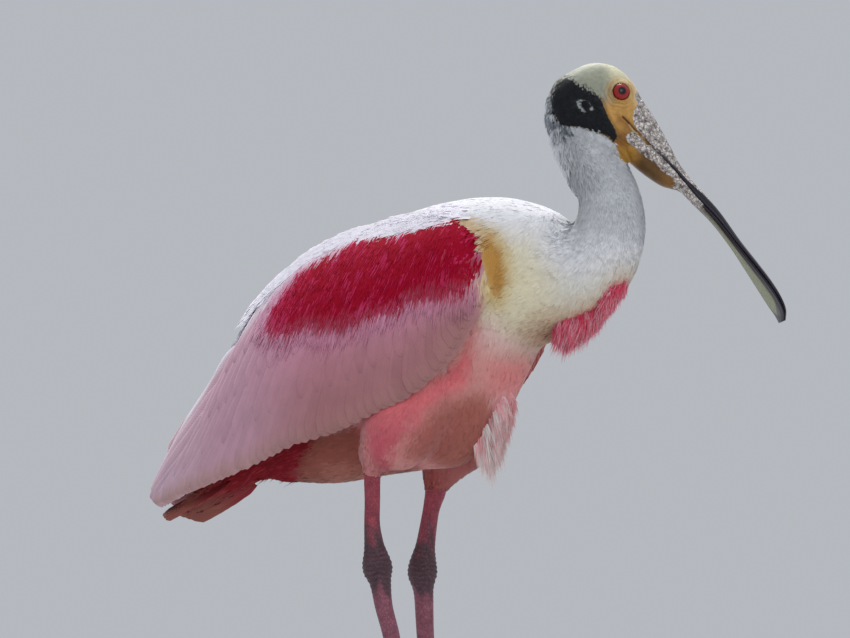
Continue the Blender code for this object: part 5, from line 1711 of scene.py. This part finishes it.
def vane(centre, normal, width, roll, tone, colour_at, camber=0.0010, underside_glow=None):
    """One broad feather along a line of points: points, quads, colours and barb numbers."""
    rows = len(centre)
    shares = np.linspace(0, 1, rows)
    places = np.linspace(-1, 1, VANE_COLUMNS)
    ways = unit(np.gradient(centre, axis=0))
    across = unit(np.cross(normal, ways))
    half = width / 2 * read(VANE_SHAPE, shares)
    ragged = 1 + RNG.normal(0, 0.012, (rows, 2))
    reach = np.where(places[None, :] < 0, ragged[:, :1], ragged[:, 1:])
    offset = places[None, :] * half[:, None] * reach
    curve = -camber * places[None, :] ** 2 * np.ones((rows, 1)) + roll * places[None, :]
    shaft = 0.00022 * (abs(places[None, :]) < 0.01) * (1 - shares[:, None] * 0.7)
    outer = (
        centre[:, None] + across[:, None] * offset[..., None] + normal[:, None] * (curve + shaft)[..., None]
    )
    outer = outer - ways[:, None] * (abs(places[None, :, None]) ** 2 * half[:, None, None] * 0.25)
    inner = outer - normal[:, None] * VANE_THICKNESS
    points, quads, _ = slab(outer, inner)
    length = np.linalg.norm(np.diff(centre, axis=0), axis=1).sum()
    barb = (shares[:, None] * length + abs(offset) * 0.9) / BARB_SPACING
    edge = step(0.72, 1.0, abs(places))[None, :, None] * np.ones((rows, 1, 1))
    stem = (abs(places) < 0.01)[None, :, None] * np.ones((rows, 1, 1))
    colours = colour_at(outer) * tone
    # Paler along each vane's edges: a painted highlight where light catches them
    colours = colours + (np.minimum(colours * 1.07, 0.95) - colours) * edge
    colours = colours * (1 - 0.07 * stem)
    wanted = np.broadcast_to(normal[:, None], outer.shape).reshape(-1, 3)
    wanted = np.vstack([wanted, -wanted])
    # The vanes' undersides lean to the glow pink, painted light for backlit feathers
    inside = colours if underside_glow is None else colours * 0.4 + underside_glow * 0.6
    both = np.vstack([colours.reshape(-1, 3), inside.reshape(-1, 3)])
    return points, quads, both, np.concatenate([barb.ravel()] * 2), wanted


def wing_vane(side, root, tip, width, lift, tone):
    """A broad feather that lies on the wing from its root to its tip."""
    shares = np.linspace(0, 1, VANE_ROWS)
    along = root[0] + (tip[0] - root[0]) * shares**1.15
    height = root[1] + (tip[1] - root[1]) * shares
    normal = wing_normal(side, along, height)
    raised = np.interp(shares, (0.0, 0.35, 1.0), (-0.0048, 0.0002, lift))
    centre = wing_point(side, along, height) + normal * raised[:, None]
    middle = height[:, None] * np.ones((1, VANE_COLUMNS))

    def colour_at(points):
        colours = wing_colour(points, middle)
        red = red_share(points)[..., None]
        return colours + (WING_RED - colours) * red * 0.9

    return vane(centre, normal, width, VANE_ROLL * side, tone, colour_at, underside_glow=WING_GLOW_PINK)


def make_wing_vanes(side, material):
    """The wing's broad feathers, tier by tier."""
    name = side_name(side)
    made = []
    for count, first, last, tip_height, root_height, sweep, growth, wide, narrow, lift in WING_TIERS:
        for share in np.linspace(0, 1, count):
            along = first + (last - first) * share + RNG.normal(0, 0.003)
            end = min(1.0, tip_height + RNG.normal(0, 0.006 if tip_height < 1 else 0.003))
            if side > 0 and end > 0.95:
                end -= 0.05 * float(step(0.30, 0.45, along) * step(0.95, 0.85, along))
            root = (along - sweep - growth * along**2, root_height)
            width = (wide + (narrow - wide) * share) * RNG.uniform(0.94, 1.06)
            raised, tone = lift * RNG.uniform(0.8, 1.2), 1 + RNG.normal(0, 0.025)
            made.append(wing_vane(side, root, (along, end), width, raised, tone))
    for along, height in WING_POINT:
        root = (along - 0.30, 0.25 + 0.35 * height)
        made.append(wing_vane(side, root, (along, height), 0.0150, 0.0014, 1 + RNG.normal(0, 0.025)))
    joined_vanes("wing_feathers_" + name, made, material, wing_spots, ("wing_" + name,))


def wing_spots(points):
    """An unwrap of the wing's own surface, by length and height."""
    u = (points[:, 0] + 0.22) / 0.31
    v = (points[:, 2] - 0.165) / 0.21
    return np.clip(np.stack([u, v], 1), 0.004, 0.996)


def joined_vanes(name, made, material, spots, replaced):
    points, quads, tris = joined([(one[0], one[1], np.zeros((0, 3), int)) for one in made])
    mesh = mesh_from(name, points, quads, tris)
    paint(mesh, np.clip(np.vstack([one[2] for one in made]), 0, 1))
    keep_number(mesh, "barb", np.concatenate([one[3] for one in made]))
    keep_normals(mesh, np.vstack([one[4] for one in made]), 0.5)
    uv = []
    for places in (one[0] for one in made):
        root = spots(places[:1])
        size = np.ptp(places, axis=0).max()
        local = (places - places.min(axis=0)) / size
        uv.append(root + (np.stack([local[:, 0], local[:, 2]], 1) - 0.5) * 0.05)
    keep_uv(mesh, np.clip(np.vstack(uv), 0.002, 0.998))
    put(name, mesh, material, replaced)


def make_wing_plumes(side, material):
    """Fine plumes over the wing: white above, crimson on the patch, pink below."""
    name = side_name(side)
    tries = PLUME_TRIES
    along, height = RNG.uniform(0.0, 0.985, tries), RNG.uniform(0.0, 0.95, tries)
    nudge = 0.01
    here = wing_point(side, along, height)
    a = wing_point(side, along + nudge, height) - here
    h = wing_point(side, along, height + nudge) - here
    area = np.linalg.norm(np.cross(a, h), axis=1)
    ahead = wing_point(side, along + 0.12 * 0.07, np.minimum(height + 0.07, 1))
    near_red = step(-0.016, 0.004, depth_in(RED_PATCH, ahead[:, [0, 2]]))
    top = step(0.22, 0.02, height)
    weight = area / area.max() * np.maximum(near_red, 0.60 * top * step(0.66, 0.50, along))
    keep = RNG.random(tries) < weight
    along, height, close = along[keep], height[keep], near_red[keep]
    reach = (0.024 - 0.006 * step(0.5, 0.9, along)) * RNG.uniform(0.7, 1.25, len(along))
    slope = 0.17 + 0.05 * along + 0.35 * step(0.62, 1.0, along) + RNG.normal(0, 0.022, len(along))
    rise = np.linalg.norm(
        wing_point(side, along + slope * 0.01, height + 0.01) - wing_point(side, along, height), axis=1
    )
    climb = reach / np.maximum(rise, 1e-5) * 0.01
    climb = np.minimum(climb, 1.0 - height)
    path, ways = [], []
    raised = 0.0008 + 0.0014 * close + 0.0009 * step(0.20, 0.06, along) * close
    for share, lift in ((0.0, 0.1), (0.5, 0.9), (1.0, 1.0)):
        at, deep = along + slope * climb * share, height + climb * share
        normal = wing_normal(side, at, deep)
        path.append(wing_point(side, at, deep) + normal * (lift * raised)[:, None])
        ways.append(normal)
    path, ways = np.stack(path, 1), np.stack(ways, 1)
    root = path[:, 0]
    middle = path[:, 0] * 0.35 + path[:, 2] * 0.65
    colours = wing_colour(middle, height + climb * 0.6)
    stray = RNG.normal(0, 1, len(middle)) * (0.0006 + 0.0026 * step(0.338, 0.318, middle[:, 2]))
    red = red_share(middle + UP * stray[:, None])
    is_red = (RNG.random(len(root)) < red)[:, None]
    rear = step(-0.050, -0.090, middle[:, 0])
    crimson = np.where((RNG.random(len(root)) < 0.85 - 0.4 * rear)[:, None], WING_RED, WING_ROSE)
    colours = np.where(is_red, crimson, colours)
    shades = shaded(colours, 0.97)
    for part in (0, 1):
        inside = ~is_red[:, 0] & (red_share(path[:, part]) > 0.5)
        shades[inside, part] = crimson[inside] * 0.97
    outside = is_red[:, 0] & (depth_in(RED_PATCH, path[:, 2][:, [0, 2]]) < 0.001)
    shades[outside, 2] = crimson[outside] * 0.6 + WING_MAUVE * 0.4
    width = 0.0056 * RNG.uniform(0.8, 1.2, len(root))
    spots = wing_spots(root)
    tufts(
        "wing_plumes_" + name, path, ways, width, shades, spots, 5, 2, material,
        {"ragged": 0.35, "fineness": 1.8},
    )


# Tail


def make_tail(material, plume_material, tree, skin):
    """Twelve tail feathers, with the crimson coverts below them."""
    made = []
    brown, crimson = rgb(150, 84, 74), rgb(140, 34, 42)

    def tail_colour(points):
        share = step(-0.150, -0.176, points[..., 0])[..., None]
        return crimson * (1 - share) + brown * share

    for place in np.linspace(-1, 1, TAIL_VANES):
        root = np.array((-0.140, place * 0.016, 0.1935 - 0.004 * place**2))
        tip = np.array((-0.2010 + 0.0095 * place**2, place * 0.0160, 0.1690 - 0.0040 * place**2))
        centre = quadratic(root, (root + tip) / 2 + UP * 0.0010, tip, VANE_ROWS)
        normal = np.tile(unit(UP + LEFT * place * 0.95), (VANE_ROWS, 1))
        tone = 1 + RNG.normal(0, 0.04)
        made.append(vane(centre, normal, TAIL_VANE_WIDTH, -0.0009 * place, tone, tail_colour, 0.0006))
    joined_vanes("tail_feathers", made, material, tail_spots, ("tail",))

    def density(points, normals):
        under = step(0.45, 0.0, normals[:, 2])
        between = abs(points[:, 1]) < 0.027 - 0.011 * step(-0.130, -0.158, points[:, 0])
        low = np.maximum(between, points[:, 2] < 0.194)
        return under * low * step(-0.003, 0.003, depth_in(BREAST_MARKS[-1][0], points[:, [0, 2]]))

    root, normal = scattered(skin, COVERT_TUFTS, density)
    count = len(root)
    length = RNG.uniform(0.014, 0.026, count)
    lie = unit(np.tile((-1.0, 0.0, -0.40), (count, 1)) + RNG.normal(0, 0.06, (count, 3)))
    path, ways = laid(tree, root, normal, lie, length, np.full(count, 0.0014))
    wisp = (RNG.random(count) < 0.07) & (normal[:, 2] < -0.3)
    path[wisp, 2] += np.array((-0.002, 0.0, -0.006))
    colours = np.where((RNG.random(count) < 0.75)[:, None], rgb(140, 26, 36), rgb(168, 48, 60))
    rear = step(-0.138, -0.168, path[:, 1, 0])[:, None]
    colours = colours + (brown - colours) * rear
    width = np.full(count, 0.0052)
    width[wisp] = 0.0030
    shape = {"ragged": 0.4, "lift": 0.0004, "fineness": 1.6}
    tufts(
        "under_tail_coverts", path, ways, width, shaded(colours), skin_uv(root), 5, 2,
        plume_material, shape,
    )


def tail_spots(points):
    return np.clip(np.stack([(points[:, 0] + 0.22) / 0.12, points[:, 1] / 0.06 + 0.5], 1), 0.004, 0.996)


def quadratic(start, middle, end, count):
    t = np.linspace(0, 1, count)[:, None]
    return start * (1 - t) ** 2 + 2 * middle * t * (1 - t) + end * t**2


# Bill


def make_bill(upper, material):
    rings, marks = [], []
    rows = smooth_rows(BILL, 150)
    inset = rows[0] + (rows[0] - rows[3]) * 0.9
    inset[4:] = rows[0, 4], rows[0, 5] - 0.0012
    rows = np.vstack([inset, rows])
    arch, flat = 33, 13
    turn = np.linspace(-math.pi / 2, math.pi / 2, arch)
    for number, (top_at, top_z, bottom_at, bottom_z, share, half_width) in enumerate(rows):
        top, bottom = head_point(top_at, top_z), head_point(bottom_at, bottom_z)
        rise = unit(top - bottom)
        mouth = bottom + (top - bottom) * share
        crest = (top - mouth) if upper else (bottom - mouth)
        mouth = mouth + rise * (0.00015 if upper else -0.00015)
        reach = half_width * (1.0 if upper else 0.94)
        height = np.maximum(np.cos(turn), 0) ** 0.8 * 0.92 + 0.08
        flare = step(0.55, 0.75, number / (len(rows) - 1))
        groove = 1 - 0.16 * np.exp(-(((abs(turn) - 1.05) / 0.16) ** 2)) * (0.4 + 0.6 * flare)
        over = mouth + crest * (height * groove)[:, None] + HEAD_LEFT * (reach * np.sin(turn))[:, None]
        under = mouth + HEAD_LEFT * (reach * np.linspace(1, -1, flat) * 0.97)[:, None]
        rings.append(np.vstack([over, under]))
        marks.append(np.full(arch + flat, number / (len(rows) - 1)))
    points, quads, tris = loft(rings)
    along = np.concatenate([np.ravel(marks), (0.0, 1.0)])
    ring_turn = np.concatenate([turn, np.full(flat, math.pi / 2)])
    around = np.concatenate([np.tile(ring_turn, len(rows)), (0.0, 0.0)])
    name = "bill_upper" if upper else "bill_lower"
    mesh = mesh_from(name + "_horn", points, quads, tris)
    edge = abs(around) / (math.pi / 2)
    plum = rgb(38, 32, 44)
    spots, _, horn = head_markings(points)
    if upper:
        colours = np.tile(rgb(128, 116, 116), (len(points), 1))
        start = np.interp(along, (0.0, 0.25, 0.385, 0.44, 0.53, 0.6), (1.05, 0.97, 0.84, 0.66, 0.30, 0.0))
        smooth_side = step(-0.05, 0.05, edge - start)
        colours = toward(colours, plum, smooth_side)
        # A pale line along the ridge towards the tip: a painted highlight
        rim = step(0.46, 0.56, along) * step(0.40, 0.22, edge) * step(0.985, 0.95, along)
        colours = toward(colours, rgb(170, 170, 180), rim)
        scaly = step(0.62, 0.50, along) * (1 - smooth_side)
    else:
        colours = np.tile(rgb(140, 98, 48), (len(points), 1))
        colours = toward(colours, rgb(104, 74, 38), step(0.05, 0.11, along) * step(0.26, 0.18, along) * 0.85)
        colours = toward(colours, rgb(206, 156, 74), step(0.10, 0.0, along))
        colours = toward(colours, rgb(120, 112, 100), step(0.30, 0.44, along))
        colours = toward(colours, rgb(136, 142, 92), step(0.48, 0.64, along))
        border = np.interp(along, (0.44, 0.52, 0.64, 0.85, 0.93), (0.90, 0.62, 0.46, 0.50, 0.0))
        colours = toward(colours, plum, step(-0.04, 0.04, edge - border) * step(0.44, 0.50, along))
        scaly = step(0.53, 0.45, along) * np.maximum(horn, step(0.26, 0.36, along))
    head_skin = step(0.075, 0.030, along) * (1 - horn)
    colours = toward(colours, spots, head_skin)
    scaly = scaly * (1 - head_skin)
    paint(mesh, colours)
    keep_number(mesh, "scaly", scaly)
    put(name + "_horn", mesh, material, (name,))


# Eyes, legs and claws


def make_eye(side, material):
    name = side_name(side)
    centre, outward = eye_axes(side)
    over = unit(np.cross(UP, outward))
    rise = np.cross(outward, over)
    turns = np.linspace(0, 2 * math.pi, 64, endpoint=False)
    rings = []
    for tilt in np.linspace(0.02, math.pi - 0.02, 72):
        bulge = EYE_RADIUS + 0.0004 * math.exp(-((tilt / 0.6) ** 2))
        ring = centre + outward * bulge * math.cos(tilt)
        spin = over * np.cos(turns)[:, None] + rise * np.sin(turns)[:, None]
        rings.append(ring + spin * bulge * math.sin(tilt))
    points, quads, tris = loft(rings)
    mesh = mesh_from("eyeball_" + name, points, quads, tris)
    off = points - centre
    apart = np.linalg.norm(off - (off @ outward)[:, None] * outward, axis=1)
    front = (off @ outward) > 0
    angle = np.arctan2(off @ rise, off @ over)
    red = rgb(178, 26, 26)
    colours = np.tile(rgb(70, 14, 14), (len(points), 1))
    iris = step(*IRIS_EDGE, apart) * front
    streaky = red * (0.85 + 0.25 * np.sin(angle * 23)[:, None] * 0.4)
    colours = toward(colours, streaky, iris)
    inner = step(0.0034, 0.0022, apart) * front
    colours = toward(colours, rgb(84, 10, 14), inner)
    pupil = step(*PUPIL_EDGE, apart) * front
    colours = toward(colours, rgb(6, 5, 6), pupil)
    paint(mesh, colours)
    put("eyeball_" + name, mesh, material, ("eye_" + name,))


def toe_parts(name):
    """The toes, webs and leg of one foot as closed shapes, and its claws."""
    side, at, heading = FEET[name]
    at = np.array(at)
    parts, claws, ends = [tube(LEGS[name], 28, 150)], [], {}
    centre = np.array((*at, HEEL_HEIGHT))
    for toe, spread_angle, length, radius, joints in TOES:
        turn = math.radians(heading - side * spread_angle)
        way = np.array((math.cos(turn), math.sin(turn), 0.0))
        rows = [(*(centre - (way + UP) * 0.001), radius * 0.84)]
        for share in np.linspace(0.12, 0.94, joints * 4):
            thick = radius * np.interp(share, (0.0, 0.22, 0.6, 1.0), (1.0, 1.0, 0.84, 0.62))
            knuckle = 1 + 0.09 * math.cos(share * joints * 2 * math.pi)
            thick *= knuckle
            rows.append((*(at + way[:2] * length * share), thick - TOE_SINK, thick))
        rows.append((*(at + way[:2] * length), TOE_TIP_RADIUS - TOE_SINK, TOE_TIP_RADIUS))
        parts.append(tube(rows, 24, joints * 14))
        ends[toe] = (way, length)
        tip = np.array((*(at + way[:2] * (length - 0.001)), TOE_TIP_RADIUS - TOE_SINK))
        claw_rows = []
        for share, rise, thick in (
            (0.0, 0.0, 1.0), (0.35, 0.0004, 0.92), (0.7, 0.0001, 0.62), (1.0, -0.0010, 0.12)
        ):
            claw_rows.append((*(tip + way * (CLAW_LENGTH + 0.0010) * share + UP * rise), CLAW_RADIUS * thick))
        claws.append(tube(claw_rows, 16, 20))
    for other in ("inner", "outer"):
        parts.append(web(at, ends["middle"], ends[other]))
    return parts, claws


def web(at, first, second):
    """The skin between the roots of two toes."""
    rows = []
    for share in np.linspace(0, 1, 15):
        reach = 1 - 0.45 * math.sin(math.pi * share)
        far = (1 - share) * first[0][:2] * first[1] + share * second[0][:2] * second[1]
        near, edge = at + far * 0.06, at + far * 0.30 * reach
        rows.append([(*(near + (edge - near) * t), 0.0030 - 0.0006 * t) for t in np.linspace(0, 1, 7)])
    top = np.array(rows)
    return slab(top, top - UP * 0.0016)


def make_legs(material, horn):
    parts, claws = [], []
    for name in FEET:
        own, nails = toe_parts(name)
        parts += own
        claws += nails
    mesh = melted("leg_skin", parts, LEG_VOXEL, MELT_PASSES)
    points, normals = points_of(mesh), normals_of(mesh)
    z = points[:, 2]
    ankle = np.exp(-(((z - 0.128) / 0.016) ** 2))
    ring = np.sin(
        z / 0.0032 * math.pi * 2 + 1.8 * np.sin(points[:, 0] * 500) + 1.2 * np.sin(points[:, 1] * 430)
    )
    fine = np.sin(z / 0.0016 * math.pi * 2 + np.arctan2(points[:, 1] % 0.01, points[:, 0]) * 3)
    scutes = (
        step(0.010, 0.004, z) * 0.00014 * np.sin(np.hypot(points[:, 0], points[:, 1]) / 0.0020 * math.pi * 2)
    )
    points = points + normals * (0.00028 * ring * ankle + 0.00005 * fine * (z > 0.02) + scutes)[:, None]
    points[:, 2] = np.maximum(points[:, 2], 0.0)
    set_points(mesh, points)
    cloud = (
        0.006 * np.sin(points[:, 0] * 520 + 2.0 * np.sin(points[:, 1] * 310))
        + 0.004 * np.sin(points[:, 1] * 900 + z * 300)
    )
    shin, tarsus, dark = rgb(168, 70, 86), rgb(150, 88, 104), rgb(80, 62, 70)
    colours = np.tile(shin, (len(points), 1))
    colours = toward(colours, rgb(140, 66, 80), step(0.172, 0.150, z + cloud))
    colours = toward(colours, tarsus, step(0.128, 0.108, z + cloud))
    span = step(0.158, 0.140, z + cloud) * step(0.108, 0.118, z + cloud * 0.6)
    colours = toward(colours, dark, span * 0.85)
    # The ankle darkened in the grooves between its rings: painted shade
    crease = np.clip(-ring, 0, 1) * ankle
    colours *= (1 - 0.30 * crease)[:, None]
    colours += (rgb(120, 76, 90) - colours) * step(0.030, 0.010, z)[:, None] * 0.5
    paint(mesh, colours)
    nodes = [f"{kind}_{side}" for kind in ("shank", "tarsus", "foot") for side in ("right", "left")]
    put("leg_skin", mesh, material, nodes)
    points, quads, tris = joined(claws)
    points[:, 2] = np.maximum(points[:, 2], 0.0)
    nails = mesh_from("claws", points, quads, tris)
    nodes = [f"claw_{side}_{toe[0]}" for side in ("right", "left") for toe in TOES]
    put("claws", nails, horn, nodes)


# Stage


def make_stage():
    corners = [(x * FLOOR_REACH, y * FLOOR_REACH, 0) for x, y in ((-1, -1), (1, -1), (1, 1), (-1, 1))]
    mesh = mesh_from("floor", corners, [(0, 1, 2, 3)], [])
    floor = bpy.data.objects.new("floor", mesh)
    bpy.context.scene.collection.objects.link(floor)
    material, tree, shader = nodes_of("floor")
    tone = spread(tree, noise(tree, 3.0), 0.3, 0.7, 0.98, 1.02)
    base = mix(tree, 0.0, FLOOR_GREY, FLOOR_GREY)
    tree.links.new(toned(tree, base, tone), shader.inputs["Base Color"])
    set_inputs(shader, Roughness=0.9)
    mesh.materials.append(material)
    world = bpy.data.worlds.new("studio")
    bpy.context.scene.world = world
    world.use_nodes = True
    background = world.node_tree.nodes["Background"]
    set_inputs(background, Color=(0.80, 0.84, 0.90, 1.0), Strength=0.58)


def make_light(name, place, target, size, power, colour):
    lamp = bpy.data.lights.new(name, "AREA")
    lamp.shape = "DISK"
    lamp.size = size
    lamp.energy = power
    lamp.color = colour
    obj = bpy.data.objects.new(name, lamp)
    bpy.context.scene.collection.objects.link(obj)
    obj.location = Vector(place)
    obj.rotation_euler = (Vector(target) - Vector(place)).to_track_quat("-Z", "Y").to_euler()


def make_camera():
    azimuth, elevation = math.radians(VIEW_AZIMUTH), math.radians(VIEW_ELEVATION)
    back = np.array(
        (
            math.sin(azimuth) * math.cos(elevation), -math.cos(azimuth) * math.cos(elevation),
            math.sin(elevation),
        )
    )
    right = np.array((math.cos(azimuth), math.sin(azimuth), 0.0))
    up = np.cross(back, right)
    data = bpy.data.cameras.new("camera")
    data.sensor_width = 36.0
    data.lens = data.sensor_width * VIEW_DISTANCE / VIEW_WIDTH
    data.clip_start, data.clip_end = 0.1, 60.0
    camera = bpy.data.objects.new("camera", data)
    bpy.context.scene.collection.objects.link(camera)
    matrix = Matrix.Identity(4)
    for row in range(3):
        matrix[row][0], matrix[row][1], matrix[row][2] = right[row], up[row], back[row]
    matrix.translation = Vector(np.array(VIEW_TARGET) + back * VIEW_DISTANCE + SHIFT)
    camera.matrix_world = matrix
    bpy.context.scene.camera = camera


def make_scene():
    plumage = feather_material("body_feathers", 0.80, 0.20)
    neck_plumage = feather_material("neck_feathers", 0.85, 0.20)
    wing_plumage = feather_material("wing_plumes", 0.75, 0.0, 0.10)
    tail_plumage = feather_material("tail_plumes", 0.75, 0.0, 0.12)
    skin = make_skin()
    tree = tree_of(skin)
    slabs = [wing_core(side, -0.0012, 1.0, 1.0) for side in (-1, 1)]
    outer = tree_of(skin, slabs)
    make_coat(skin, tree, outer, plumage, neck_plumage)
    make_band_coat(skin, tree, neck_plumage)
    make_mantle(outer, plumage)
    make_crop_tuft(skin, neck_plumage)
    make_breast_tuft(skin, plumage)
    for side in (-1, 1):
        make_wing_vanes(side, vane_material("wing_feathers"))
        make_wing_plumes(side, wing_plumage)
    make_tail(vane_material("tail_feathers"), tail_plumage, tree, skin)
    flesh = (
        "torso", "neck_lower", "neck_upper", "head", "ear_right", "ear_left", "thigh_right", "thigh_left"
    )
    put("skin", skin, skin_material(), flesh)
    horn = bill_material("bill_horn")
    make_bill(True, horn)
    make_bill(False, horn)
    for side in (-1, 1):
        make_eye(side, eye_material())
    make_legs(leg_material(), claw_material())
    make_stage()
    make_light("key", (-1.2, 1.4, 3.2), LIGHT_TARGET, 2.4, 120.0, (1.0, 0.99, 0.98))
    make_light("fill", (2.4, -2.6, 1.6), LIGHT_TARGET, 2.6, 26.0, (0.97, 0.98, 1.0))
    make_camera()
    bpy.context.scene.view_settings.view_transform = "Standard"


make_scene()
